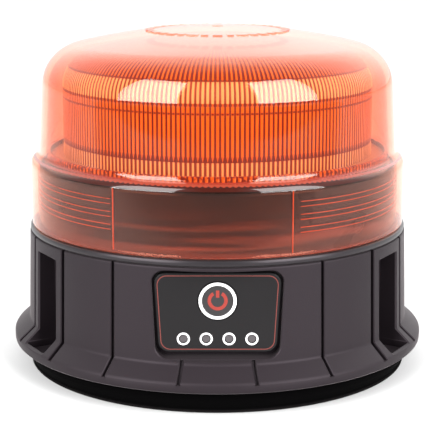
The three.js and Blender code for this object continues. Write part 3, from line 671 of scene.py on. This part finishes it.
def foot():
    inner, floor = 70.6, 2.0
    low, high = PAD_LOW.z, PAD_HIGH.z
    wide = PAD_HIGH.x
    profile = [(0, low)]
    for radius in (20, 30, 40, 50, 60):  # shallow rings that grip
        profile += [(radius, low), (radius + 0.4, low + 0.5), (radius + 1.6, low + 0.5), (radius + 2, low)]
    profile += [
        (wide - 1.9, low), (wide - 1.35, low + 0.25), (wide - 1.2, low + 0.7), (wide - 1.15, low + 1.3),
        (wide - 1.5, low + 1.5), (wide - 1.45, low + 1.9), (wide - 0.15, low + 4.3), (wide, low + 4.8),
        (wide, low + 5.6), (wide - 0.3, high - 0.4), (wide - 0.6, high), (inner, high),
        (inner, floor), (0, floor),
    ]
    made = Shape().turned(profile).mesh("foot_pad", [foot_rubber()])
    put(made, "beacon", "pad_rubber", "magnet_pad")


# ---- base shell

def wall_radius(z):
    """The shell's outer radius at a height."""
    if z <= RIM_TOP:
        return FLANGE_RADIUS
    if z <= BREAK[1]:
        return FLANGE_RADIUS + (BREAK[0] - FLANGE_RADIUS) * (z - RIM_TOP) / (BREAK[1] - RIM_TOP)
    return BREAK[0] + (WALL_TOP_RADIUS - BREAK[0]) * (z - BREAK[1]) / (SHELL_TOP - BREAK[1])


def groove(top, width=GROOVE_WIDTH):
    """A groove down the wall and the flange's slope, with cut-off edges, made at the front."""
    half = width / 2
    section = [(-half - EDGE, 2), (-half - EDGE, 0), (-half, -EDGE), (-half, -GROOVE_DEPTH),
               (half, -GROOVE_DEPTH), (half, -EDGE), (half + EDGE, 0), (half + EDGE, 2)]
    path = [((FLANGE_RADIUS, GROOVE_FOOT), (1, 0)), ((FLANGE_RADIUS, RIM_TOP), (0.93, 0.4)),
            (BREAK, (0.93, 0.4))]
    if top > BREAK[1]:
        path += [((WALL_TOP_RADIUS, top), (1, 0.03))]
    else:
        path += [((BREAK[0] - 0.6, BREAK[1] + 1.6), (0.93, 0.4))]
    loops = [[(s, -(r + off * nr), z + off * nz) for s, off in section] for (r, z), (nr, nz) in path]
    return Shape().loft(loops)


def rounded_box(half_low, half_high, low, high, corner, steps=3, stops=()):
    """Points round a box in X and Z, anticlockwise from the lower left. Its sides have points at stops."""
    def half_at(z):
        return half_low + (half_high - half_low) * (z - low) / (high - low)

    points = []
    corners = [(-1, low, 180, 270), (1, low, 270, 360), (1, high, 0, 90), (-1, high, 90, 180)]
    for side, z, start, end in corners:
        inward = 1 if z == low else -1
        centre = (side * (half_at(z + inward * corner) - corner), z + inward * corner)
        arc = []
        for i in range(steps + 1):
            a = math.radians(start + (end - start) * i / steps)
            arc.append((centre[0] + corner * math.cos(a), centre[1] + corner * math.sin(a)))
        if (side, z) == (-1, low):  # down the left side before its lower corner
            points += [(-half_at(s), s) for s in sorted(stops, reverse=True)]
        points += arc
        if (side, z) == (1, low):  # up the right side after its lower corner
            points += [(half_at(s), s) for s in sorted(stops)]
    return points


def opening(outline_at, stations):
    """A hollow whose mouth follows the wall.

    stations are pairs of a depth and the outline's margin there. A depth as ("flat", y) is level.
    """
    loops = []
    for depth, margin in stations:
        loop = []
        for x, z in outline_at(margin):
            if isinstance(depth, tuple):
                y = depth[1]
            else:
                y = depth - math.sqrt(wall_radius(z) ** 2 - x * x)
            loop.append((x, y, z))
        loops.append(loop)
    return Shape().loft(loops)


def side_pocket():
    """The tall opening, and the well under it that runs out over the flange."""
    def outline(margin):
        return rounded_box(POCKET_HALF + margin, POCKET_HALF + margin, POCKET_FOOT - margin * 0.6,
                           POCKET_TOP + margin, 0.7 + margin, 3, POCKET_STOPS)

    edge = EDGE * 1.8
    mouth = opening(outline, [(-4, edge), (0, edge), (edge, 0), (("flat", -POCKET_BACK), -0.15)])
    well = Shape().block((-POCKET_HALF + 0.2, -POCKET_LIP, POCKET_FLOOR),
                         (POCKET_HALF - 0.2, -POCKET_BACK - 0.05, POCKET_FOOT + 1.5))
    return [mouth, well]


def panel_outline(margin, drop=0.0):
    """The panel's outline, grown by a margin and with its foot lowered by drop."""
    return rounded_box(PANEL_HALF_BOTTOM + margin, PANEL_HALF_TOP + margin, PANEL_LOW.z - margin - drop,
                       PANEL_HIGH.z + margin, PANEL_CORNER + margin * 0.7, 7, (26, 32, 38, 44))


def on_screw_ring(shape, angle):
    x, y, _ = turn_point((0, -SCREW_RING, 0), angle)
    return shape.move(x, y, 0)


def base_shell():
    r, top = FLANGE_RADIUS, SHELL_TOP
    bottom, (break_r, break_z) = SHELL_BOTTOM, BREAK
    profile = [
        (0, bottom), (r - 1.2, bottom), (r - 0.5, bottom + 0.15), (r - 0.12, bottom + 0.5),
        (r, bottom + 1.1), (r, RIM_TOP - 0.5), (r - 0.12, RIM_TOP - 0.1), (r - 0.5, RIM_TOP + 0.42),
        (break_r + 0.5, break_z - 0.42), (break_r + 0.15, break_z - 0.05), (break_r, break_z + 0.5),
        (WALL_TOP_RADIUS + 0.01, top - 0.5), (WALL_TOP_RADIUS - 0.15, top - 0.12),
        (WALL_TOP_RADIUS - 0.5, top), (0, top),
    ]
    made = Shape().turned(profile, 360).mesh("shell", [moulded_shell()])
    bore = Shape().turned([(0, SHELL_FLOOR), (SHELL_INNER_RADIUS, SHELL_FLOOR),
                           (SHELL_INNER_RADIUS, top + 3), (0, top + 3)], 180)
    carve(made, [bore])
    half = POCKET_BACK_HALF + POCKET_WALL
    backings = [
        Shape().block((-half, -SHELL_INNER_RADIUS - 1, bottom + 1),
                      (half, -POCKET_BACK + POCKET_WALL, POCKET_TOP + POCKET_WALL), edge=0.01).turn(angle)
        for angle in POCKET_ANGLES
    ]
    front = Shape().loft([
        [(x, -math.sqrt(FRAME_RADIUS ** 2 - x * x), z) for x in range(-27, 28, 3)]
        + [(27, -63.4, z), (-27, -63.4, z)] for z in (bottom + 1, top - 0.1)])
    back = Shape().loft([
        [(x, math.sqrt(FRAME_RADIUS ** 2 - x * x), z) for x in range(16, -17, -4)]
        + [(-16, 66.6, z), (16, 66.6, z)] for z in (bottom + 1, top - 0.1)])
    columns = [on_screw_ring(Shape().turned([(0, 10), (4.6, 10), (4.6, 46), (0, 46)], 24), angle)
               for angle in SCREW_ANGLES]
    carve(made, [*backings, front, back, *columns], "UNION")

    cutters = []
    for angle in POCKET_ANGLES:
        cutters += [groove(top + 2, POCKET_GROOVE_WIDTH).turn(angle + side * POCKET_GROOVE)
                    for side in (-1, 1)]
        cutters += [part.turn(angle) for part in side_pocket()]
    for centre in (0, 180):
        for side in (-1, 1):
            cutters.append(groove(top + 2).turn(centre + side * PANEL_GROOVE))
            cutters.append(groove(BREAK[1]).turn(centre + side * NOTCH))
    mouth = [(-4, EDGE), (0, EDGE), (EDGE, 0)]
    cutters.append(opening(  # the panel's recess and the window behind the panel
        lambda margin: panel_outline(1 + margin, 0.9), [*mouth, (("flat", PANEL_BACK + 1.3), 0)]))
    cutters.append(opening(panel_outline, [(("flat", PANEL_BACK - 1), -1.8), (("flat", -60), -1.8)]))

    def port_outline(margin):
        return rounded_box(10.5 + margin, 10.5 + margin, 27 - margin, 47.3 + margin, 0.8 + margin, 3, (36,))

    cutters.append(opening(port_outline, [*mouth, (("flat", -FLAP_LOW.y), 0)]).turn(180))
    cutters.append(Shape().turned([(0, 60), (4.5, 60), (4.5, 75), (0, 75)], 32, axis="Y")
                   .move(0, 0, PORT_Z))
    carve(made, cutters)
    put(made, "beacon", "shell_plastic", "base_shell")


# ---- chassis

def chassis():
    cup, deck_radius, wall = 68.9, 67.2, 2.4
    rim, deck = CHASSIS_HIGH.x, CHASSIS_HIGH.z
    low, rim_low, rim_high, groove_floor = 50, 52.6, 54.8, 53.6
    profile = [
        (67.2, low), (69.6, low), (69.6, rim_low), (rim - 0.6, rim_low), (rim - 0.15, rim_low + 0.15),
        (rim, rim_low + 0.6), (rim - 0.03, rim_high - 0.9), (rim - 0.25, rim_high - 0.3),
        (rim - 0.9, rim_high), (71.5, rim_high), (71.5, groove_floor), (69.5, groove_floor),
        (69.5, rim_high), (cup, rim_high), (cup, deck - 2.6), (cup - 0.25, deck - 1.6),
        (cup - 0.8, deck - 0.6), (deck_radius, deck), (8, deck), (8, deck - wall),
        (deck_radius - wall - 0.6, deck - wall), (cup - wall, deck - wall - 2.6), (cup - wall, rim_high),
        (67.2, low),
    ]
    shape = Shape().turned(profile)
    for angle in SCREW_ANGLES:  # columns for the long screws
        tube = [(2.3, CHASSIS_LOW.z), (4.6, CHASSIS_LOW.z), (4.6, deck - wall + 0.5),
                (2.3, deck - wall + 0.5), (2.3, CHASSIS_LOW.z)]
        shape.merge(on_screw_ring(Shape().turned(tube, 24), angle))
    made = shape.mesh("chassis_cup", [chassis_black()])
    put(made, "beacon", "chassis_plastic", "chassis")


# ---- lenses

def round_point(form, degrees):
    """A point on a rounded shoulder, from its upright wall at 0 degrees."""
    radius, z, inwards, upwards, _ = form
    a = math.radians(degrees)
    return radius - inwards * (1 - math.cos(a)), z + upwards * math.sin(a)


def crown_height(form, radius):
    """The height inside a shoulder. It starts with the shoulder's last slope and is level at the axis."""
    _, _, inwards, upwards, turn = form
    edge_r, edge_z = round_point(form, turn)
    slope = upwards / inwards / math.tan(math.radians(turn))
    return edge_z + slope * edge_r / 2 * (1 - (radius / edge_r) ** 2)


def over_the_top(form, shoulder_steps, crown_steps):
    """Points from the start of a shoulder to the axis."""
    points = [round_point(form, form[4] * i / shoulder_steps) for i in range(shoulder_steps + 1)]
    edge = points[-1][0]
    shares = [1 - i / crown_steps for i in range(1, crown_steps + 1)]
    return points + [(edge * t, crown_height(form, edge * t)) for t in shares]


def lens_outside():
    points = [(BAND_RADIUS - 0.25, LENS_LOW.z), (BAND_RADIUS, LENS_LOW.z + 0.3),
              (BAND_RADIUS, 60), (BAND_RADIUS, 70)]
    for i in range(9):  # the band's rounded shoulder
        a = math.radians(i * 62 / 8)
        points.append((BAND_RADIUS - 2.6 * (1 - math.cos(a)), BAND_TOP + 3.0 * math.sin(a) - 0.4))
    foot_r, foot_z = DOME_FOOT
    points += [(foot_r + 0.65, foot_z - 1.35), (foot_r + 0.3, foot_z - 0.95), (foot_r + 0.08, foot_z - 0.4),
               (foot_r, foot_z)]
    return points + over_the_top(DOME_ROUND, 32, 16)


def inner_skin(outside, wall):
    """The same points moved in by the wall's thickness, in reverse order."""
    skin = []
    for i, (r, z) in enumerate(outside):
        r0, z0 = outside[max(i - 1, 0)]
        r1, z1 = outside[min(i + 1, len(outside) - 1)]
        length = math.hypot(r1 - r0, z1 - z0)
        skin.append((max(r - wall * (z1 - z0) / length, 0), z + wall * (r1 - r0) / length))
    skin[-1] = (0, skin[-1][1])
    skin[0] = (skin[0][0], outside[0][1])
    return skin[::-1]


def ring_part(inner, outer, low, high, start, end, slot=0):
    """A piece of a ring from one angle to another, in degrees from the front."""
    steps = max(int(abs(end - start) / 1.5), 2)
    loops = []
    for i in range(steps + 1):
        a = start + (end - start) * i / steps
        loops.append([turn_point(p, a) for p in
                      ((0, -inner, low), (0, -outer, low), (0, -outer, high), (0, -inner, high))])
    return Shape().loft(loops, slot)


def outer_lens():
    outside = lens_outside()
    shape = Shape().turned([*outside, *inner_skin(outside, LENS_WALL), outside[0]])
    skin = BAND_RADIUS - LENS_WALL + 0.05
    for angle in UPRIGHT_RIBS:
        shape.merge(Shape().block((-0.13, -skin, 55.6), (0.13, -skin + 0.5, 78), slot=1).turn(angle))
    for z in LEVEL_RIBS:  # each is a pair of lines
        for start, end in LEVEL_RIB_SIDES:
            for line in (z - 0.9, z + 0.9):
                shape.merge(ring_part(skin - 0.5, skin, line - 0.07, line + 0.07, start, end, slot=1))
    shape.merge(dome_marks())
    made = shape.mesh("lens", [clear_amber(), rib_amber()], sharp=40)
    put(made, "beacon", "outer_amber", "outer_lens")


def dome_marks():
    """Plain raised dashes in a ring on the dome, and a small round mark at its middle."""
    shape = Shape()
    inner, outer = MARK_RING - 1.5, MARK_RING + 1.5
    low = crown_height(DOME_ROUND, outer) - 0.2
    high = crown_height(DOME_ROUND, inner) + 0.15
    for k in range(36):
        half_length = (1.7, 1.1, 2.0, 1.3)[k % 4]
        spread = math.degrees(half_length / MARK_RING)
        shape.merge(ring_part(inner, outer, low, high, k * 10 - spread, k * 10 + spread))
    top = crown_height(DOME_ROUND, 0)
    mark = [(0, top - 0.3), (2.1, top - 0.3), (2.1, top + 0.1), (1.8, top + 0.25), (0, top + 0.3)]
    return shape.turned(mark, 40)


def fluted_optic():
    """One flute with its tooth at the foot and the wall behind it, to be repeated round the optic."""
    radius, shoulder = OPTIC_ROUND[:2]
    low = OPTIC_BOTTOM
    foot = [(TEETH_RADIUS, low), (TEETH_RADIUS, TEETH_TOP - 0.4), (TEETH_RADIUS - 0.4, TEETH_TOP),
            (TEETH_RADIUS - 1.2, TEETH_TOP), (TEETH_RADIUS - 1.6, 81.2)]
    wall = [(radius, z) for z in (81.3, 86.4, 88.7, 98)] + over_the_top(OPTIC_ROUND, 10, 5)
    inside = inner_skin(
        [(radius, low), (radius, shoulder), *over_the_top(OPTIC_ROUND, 6, 4)[1:]], OPTIC_WALL)
    across = 4
    pitch = 2 * math.pi / FLUTES
    shape = Shape()
    for outline, depth in (([*foot, *wall], 0.36), ([*inside, foot[0]], 0.0)):
        points, faces = [], []
        for r, z in outline:
            for j in range(across + 1):
                t = j / across * 2 - 1
                inset = depth * t * t * min(r / radius, 1)
                a = t * pitch / 2
                points.append(((r - inset) * math.sin(a), -(r - inset) * math.cos(a), z))
        row = across + 1
        for i in range(len(outline) - 1):
            for j in range(across):
                faces.append([i * row + j, i * row + j + 1, (i + 1) * row + j + 1, (i + 1) * row + j])
        shape.add(points, faces)
    return shape


def around_tree():
    """Geometry Nodes that repeat a geometry round Z."""
    tree = bpy.data.node_groups.new("repeat_around", "GeometryNodeTree")
    tree.is_modifier = True
    face = tree.interface
    face.new_socket("Geometry", in_out="INPUT", socket_type="NodeSocketGeometry")
    face.new_socket("Count", in_out="INPUT", socket_type="NodeSocketInt")
    face.new_socket("Weld", in_out="INPUT", socket_type="NodeSocketFloat")
    face.new_socket("Material", in_out="INPUT", socket_type="NodeSocketMaterial")
    face.new_socket("Geometry", in_out="OUTPUT", socket_type="NodeSocketGeometry")
    r = Recipe(tree)
    given = tree.nodes.new("NodeGroupInput")
    geometry, count, weld, finish = [Wire(tree, socket) for socket in given.outputs[:4]]
    turn = r.node("GeometryNodeInputIndex") * (2 * math.pi) / count
    copies = r.node(
        "GeometryNodeInstanceOnPoints", Points=r.node("GeometryNodePoints", Count=count),
        Instance=geometry, Rotation=r.node("ShaderNodeCombineXYZ", Z=turn))
    real = r.node("GeometryNodeRealizeInstances", Geometry=copies)
    whole = r.node("GeometryNodeMergeByDistance", Geometry=real, Distance=weld)
    r.finish(r.node("GeometryNodeSetMaterial", Geometry=whole, Material=finish), "NodeGroupOutput")
    return tree


def repeat_around(made, tree, count, weld, finish, sharp):
    ids = {item.name: item.identifier for item in tree.interface.items_tree if item.in_out == "INPUT"}
    tool = made.modifiers.new("around", "NODES")
    tool.node_group = tree
    tool[ids["Count"]] = count
    tool[ids["Weld"]] = weld
    tool[ids["Material"]] = finish
    settle(made, sharp)


def inner_lens(tree):
    made = fluted_optic().mesh("fluted_lens", [], sharp=180)
    repeat_around(made, tree, FLUTES, 0.00004, fluted_amber(), sharp=24)
    put(made, "beacon", "optic_amber", "inner_lens")


# ---- control panel

def at_depth(outline, y):
    return [(x, y, z) for x, z in outline]


def plate(outline, front, back, edge):
    """A flat plate from a closed outline given as a function of a margin, with cut-off front edges."""
    return Shape().loft([at_depth(outline(-edge), front), at_depth(outline(0), front + edge),
                         at_depth(outline(0), back)])


def strip(outer, inner, front, thick, slot):
    """A printed line between two outlines with the same number of points."""
    count = len(outer)
    points = [point for y in (front - thick, front + 0.02) for outline in (outer, inner)
              for point in at_depth(outline, y)]
    faces = []
    for j in range(count):
        k = (j + 1) % count
        a, b, c, d = 0, count, 2 * count, 3 * count
        faces += [(a + j, a + k, b + k, b + j), (c + j, d + j, d + k, c + k),
                  (a + j, c + j, c + k, a + k), (b + j, b + k, d + k, d + j)]
    return Shape().add(points, faces, slot)


def circle(radius, x, z, count=48):
    turns = [2 * math.pi * i / count for i in range(count)]
    return [(x + radius * math.cos(a), z + radius * math.sin(a)) for a in turns]


PIPE_NODES = [f"light_pipe_{i}" for i in (1, 2, 3, 4)]
PIPE_MIDDLES = [(low + high) / 2 for low, high in map(box_mm, PIPE_NODES)]
PIPE_CENTRES = [(middle.x, middle.z) for middle in PIPE_MIDDLES]


def control_panel(ink_white):
    film = worn(
        "panel_film", (0.006, 0.0052, 0.0058), 0.42, grain=1600.0, depth=0.008, Specular_IOR_Level=0.24)
    made = plate(panel_outline, PANEL_FACE, PANEL_BACK, 0.25).mesh("panel", [film])

    def hole(radius, x, z, segments):
        front, back = PANEL_FACE - 2, PANEL_BACK + 2
        drill = [(0, front), (radius, front), (radius, back), (0, back)]
        return Shape().turned(drill, segments, axis="Y").move(x, 0, z)

    carve(made, [hole(KEY_RADIUS + 0.3, 0, KEY_Z, SMALL_ROUND),
                 *(hole(PIPE_RADIUS + 0.1, x, z, 32) for x, z in PIPE_CENTRES)])
    put(made, "beacon", "panel_film", "control_panel")

    lines = strip(panel_outline(-0.9), panel_outline(-1.2), PANEL_FACE, 0.03, 0)
    for x, z in PIPE_CENTRES:
        lines.merge(strip(circle(2.28, x, z), circle(PIPE_RADIUS + 0.12, x, z), PANEL_FACE, 0.03, 1))
    border_ink = printed("border_ink", (0.14, 0.022, 0.016))
    put(lines.mesh("panel_print", [border_ink, ink_white]), "beacon", "panel_film")


def key(ink_white, ink_red):
    rubber = worn("key_rubber", (0.013, 0.011, 0.012), 0.5, grain=1300.0, depth=0.01)
    face = KEY_LOW.y
    profile = [
        (0, face + 0.25), (5.3, face + 0.25), (5.5, face + 0.05), (5.6, face), (KEY_RADIUS - 0.25, face),
        (KEY_RADIUS, face + 0.25), (KEY_RADIUS, PANEL_BACK + 0.3), (8, PANEL_BACK + 0.3),
        (8, PANEL_BACK + 1.1), (2.2, PANEL_BACK + 1.1), (2.2, KEY_HIGH.y), (0, KEY_HIGH.y),
    ]
    shape = Shape().turned(profile, 64, axis="Y").move(0, 0, KEY_Z)
    shape.merge(strip(circle(6.62, 0, KEY_Z, 64), circle(5.54, 0, KEY_Z, 64), face, 0.02, 1))
    sunk = face + 0.25
    arc = []  # the power sign's ring, open for 60 degrees at its top
    for radius, order in ((3.5, range(0, 41)), (2.3, range(40, -1, -1))):
        for i in order:
            a = math.radians(90 + 30 + (360 - 60) * i / 40)
            arc.append((radius * math.cos(a), radius * math.sin(a) + KEY_Z + 0.1))
    half = len(arc) // 2
    points, faces = [], []
    for depth in (sunk - 0.06, sunk + 0.02):
        points += at_depth(arc, depth)
    count = len(arc)
    for i in range(half - 1):
        faces += [(i, i + 1, count - 2 - i, count - 1 - i),
                  (count + i, 2 * count - 1 - i, 2 * count - 2 - i, count + i + 1)]
    faces += [(i, (i + 1) % count, count + (i + 1) % count, count + i) for i in range(count)]
    shape.add(points, faces, 2)
    shape.block((-0.6, sunk - 0.06, KEY_Z + 1.2), (0.6, sunk + 0.02, KEY_Z + 3.75), slot=2)
    made = shape.mesh("power_key_cap", [rubber, ink_white, ink_red])
    put(made, "power_key", "key_rubber", "power_button")


def light_pipes():
    clear = worn("pipe_clear", (0.055, 0.049, 0.052), 0.25, grain=500.0, depth=0.01)
    for node, (x, z) in zip(PIPE_NODES, PIPE_CENTRES):
        face, end = box_mm(node)[0].y, box_mm(node)[1].y
        r = PIPE_RADIUS
        profile = [(0, face), (r * 0.5, face + 0.03), (r * 0.85, face + 0.1), (r, face + 0.3),
                   (r, PANEL_BACK + 0.3), (r + 0.8, PANEL_BACK + 0.3), (r + 0.8, PANEL_BACK + 1.1),
                   (r, PANEL_BACK + 1.1), (r, end), (0, end)]
        made = Shape().turned(profile, 32, axis="Y").move(x, 0, z).mesh(f"indicator_{node[-1]}", [clear])
        put(made, "beacon", "pipe_clear", node)


# ---- charging port

def charging_port():
    rubber = worn("port_rubber", (0.01, 0.009, 0.0095), 0.7, grain=1000.0, depth=0.03)
    plastic = worn("connector_black", (0.012, 0.012, 0.013), 0.35)
    metal = brushed_metal("contact_metal", (0.75, 0.72, 0.65), 0.25)
    low, high = FLAP_LOW, FLAP_HIGH
    face = high.y - 0.7
    half, foot_z, top = 10.0, 27.5, high.z

    def outline(margin):
        return rounded_box(
            half + margin, half + margin, foot_z - margin, top + margin, 1.6 + margin, 4, (34,))

    shape = Shape().loft([at_depth(outline(0), low.y + 2.3), at_depth(outline(0), face - 0.4),
                          at_depth(outline(-0.4), face)])
    shape.block((-4, face - 1.2, foot_z - 0.2), (4, face + 0.7, foot_z + 1.4), edge=0.5)
    for z in (31, 33, 35, 37, 39):
        shape.block((-6, face - 0.1, z - 0.4), (6, face + 0.25, z + 0.4), edge=0.1)
    bung = [(0, low.y), (1.4, low.y), (1.7, low.y + 0.3), (2.1, low.y + 1.2), (1.95, low.y + 1.5),
            (2.5, low.y + 2.2), (2.5, low.y + 2.6), (0, low.y + 2.6)]
    shape.merge(Shape().turned(bung, 32, axis="Y").move(0, 0, PORT_Z))
    put(shape.mesh("port_flap", [rubber]), "charge_port_flap", "seal_rubber", "port_cover")

    low, high = ANCHOR_LOW, ANCHOR_HIGH

    def tab(margin):
        return rounded_box(6 + margin, 6 + margin, low.z - margin, high.z + margin, 1.2 + margin, 4, ())

    shape = Shape().loft([at_depth(tab(0), FRAME_RADIUS), at_depth(tab(0), high.y - 0.4),
                          at_depth(tab(-0.4), high.y)])
    stem = [(0, low.y), (1.1, low.y), (1.6, low.y + 0.8), (1.6, 71.2), (0, 71.2)]
    shape.merge(Shape().turned(stem, 24, axis="Y").move(0, 0, (low.z + high.z) / 2))
    put(shape.mesh("flap_anchor", [rubber]), "beacon", "seal_rubber", "cover_anchor")

    loops = []
    for i in range(25):  # the strap at the hinge, made straight in many rows
        z = 41.6 + 2.6 * i / 24
        loops.append([(-4.5, 72.3, z), (4.5, 72.3, z), (4.5, 73.3, z), (-4.5, 73.3, z)])
    strap = Shape().loft(loops).mesh("flap_strap", [rubber])
    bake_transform(strap)

    low, high = JACK_LOW, JACK_HIGH
    z = PORT_Z
    shape = Shape().block((-5.5, low.y, z - 5), (5.5, 66, z + 5), edge=0.4)
    nose = [(3.1, 61), (3.1, high.y - 0.3), (3.3, high.y), (4.0, high.y), (4.2, high.y - 0.3),
            (4.2, 65.5), (3.1, 61)]
    shape.merge(Shape().turned(nose, 40, axis="Y").move(0, 0, z))
    pin = [(0, 61), (1.0, 61), (1.0, high.y - 3.4), (0.7, high.y - 3), (0, high.y - 3)]
    shape.merge(Shape().turned(pin, 20, slot=1, axis="Y").move(0, 0, z))
    put(shape.mesh("jack", [plastic, metal]), "beacon", "connector_black", "charge_jack")


# ---- pieces kept as they are

def finish_inner_parts():
    steel = brushed_metal("screw_steel", (0.5, 0.5, 0.52), 0.32)
    plated = brushed_metal("plated_steel", (0.62, 0.62, 0.64), 0.3)
    alloy = brushed_metal("tower_alloy", (0.72, 0.73, 0.75), 0.38)
    ferrite = worn("ferrite", (0.035, 0.036, 0.04), 0.55, grain=600.0, depth=0.04)
    white = worn("reflector_white", (0.82, 0.82, 0.8), 0.35, grain=800.0, depth=0.01, shift=0.04)
    rubber = worn("seal_rubber", (0.012, 0.011, 0.011), 0.7, grain=900.0, depth=0.03)
    holder = worn("holder_grey", (0.04, 0.041, 0.045), 0.55)
    black = worn("switch_black", (0.012, 0.012, 0.013), 0.35)
    lead = worn("lead_red", (0.34, 0.02, 0.015), 0.45, grain=500.0, depth=0.02)
    finishes = {  # the slot, its finish and the pieces that have it, without their numbers
        "seal_rubber": (rubber, "lens_seal panel_gasket"),
        "plate_steel": (plated, "backing_plate"),
        "screw_steel": (steel, "magnet_screw body_screw tower_screw board_screw battery_screw"
                        " switch_board_screw"),
        "magnet_ferrite": (ferrite, "ring_magnet"),
        "tower_aluminium": (alloy, "heat_sink"),
        "reflector_white": (white, "reflector_plate tower_cap"),
        "board_green": (circuit_board(), "main_board switch_board charge_board"),
        "led_board_white": (led_board(), "led_board"),
        "cell_wrap": (cell_wrap(), "battery_cell"),
        "holder_grey": (holder, "battery_holder battery_cover"),
        "connector_black": (black, "tact_switch switch_plunger"),
        "lead_red": (lead, "led_lead battery_lead switch_lead charge_lead"),
    }
    for slot, (finish, pieces) in finishes.items():
        for name, node in sorted(frame["nodes"].items()):
            if name.rstrip("_0123456789") in pieces.split():
                node.data.materials.clear()
                node.data.materials.append(finish)


# ---- floor, light and camera

def studio():
    ground, r = material("studio_floor")
    where, (_, y, _) = r.place()
    # painted shade: the floor turns darker towards the front, on the camera's side
    shade_free = y.rise(-380, -130) + r.noise(where, 4.0, 2.0) * 0.02
    tone = r.blend(shade_free, (0.158, 0.158, 0.158), (0.6, 0.6, 0.6))
    r.surface(Base_Color=tone, Roughness=0.9, Specular_IOR_Level=0.1, Emission_Color=tone,
              Emission_Strength=0.1)
    floor = Shape().block((-9000, -9000, -20), (9000, 9000, -0.02)).mesh("floor", [ground])

    world = bpy.data.worlds.new("studio")
    bpy.context.scene.world = world
    world.use_nodes = True
    sky = Recipe(world.node_tree)
    way = sky.node("ShaderNodeTexCoord", "Generated")
    split = sky.tree.nodes.new("ShaderNodeSeparateXYZ")
    sky.tree.links.new(way.socket, split.inputs[0])
    dx, dy, dz = [Wire(sky.tree, o) for o in split.outputs]
    behind = dy.rise(-0.55, 0.25)
    panel = dy.rise(0.12, 0.35) * dz.rise(0.02, 0.5)  # a large soft light over and behind the object
    level = (0.25 + behind * 0.75 + panel) * (1 + dx.rise(-0.1, 0.8) * 0.5)
    glow = sky.node("ShaderNodeBackground", Color=(1, 1, 1, 1), Strength=level)
    sky.finish(glow, "ShaderNodeOutputWorld")

    distance, radiance, half_width, top = 2.5, 10.5, math.radians(20), math.radians(53)
    for name, from_front in (("softbox_left", -45), ("softbox_right", 45)):  # degrees
        data = bpy.data.lights.new(name, "AREA")
        data.shape = "RECTANGLE"
        azimuth = math.radians(from_front)
        low, high = 0.02, distance * math.tan(top)
        data.size = 2 * distance * math.tan(half_width)
        data.size_y = high - low
        data.energy = radiance * math.pi * data.size * data.size_y
        light = bpy.data.objects.new(data.name, data)
        middle = 0.1 + (low + high) / 2
        light.location = (distance * math.sin(azimuth), -distance * math.cos(azimuth), middle)
        aim = Vector((0, 0, light.location.z)) - light.location
        light.rotation_euler = aim.to_track_quat("-Z", "Y").to_euler()
        bpy.context.scene.collection.objects.link(light)

    data = bpy.data.cameras.new("camera")
    data.lens, data.sensor_width = 117.2, 36
    data.clip_start, data.clip_end = 0.02, 60
    camera = bpy.data.objects.new("camera", data)
    camera.location = (-0.00092, -0.5389, 0.1713)
    camera.rotation_euler = (math.radians(90 - 12.149), 0, 0)
    bpy.context.scene.collection.objects.link(camera)
    bpy.context.scene.camera = camera
    bpy.context.scene.view_settings.view_transform = "Standard"


# ---- everything

around = around_tree()
white_ink = printed("white_ink", (0.75, 0.74, 0.74))
red_ink = printed("red_ink", (0.24, 0.02, 0.012))
foot()
base_shell()
chassis()
outer_lens()
inner_lens(around)
control_panel(white_ink)
key(white_ink, red_ink)
light_pipes()
charging_port()
finish_inner_parts()
studio()
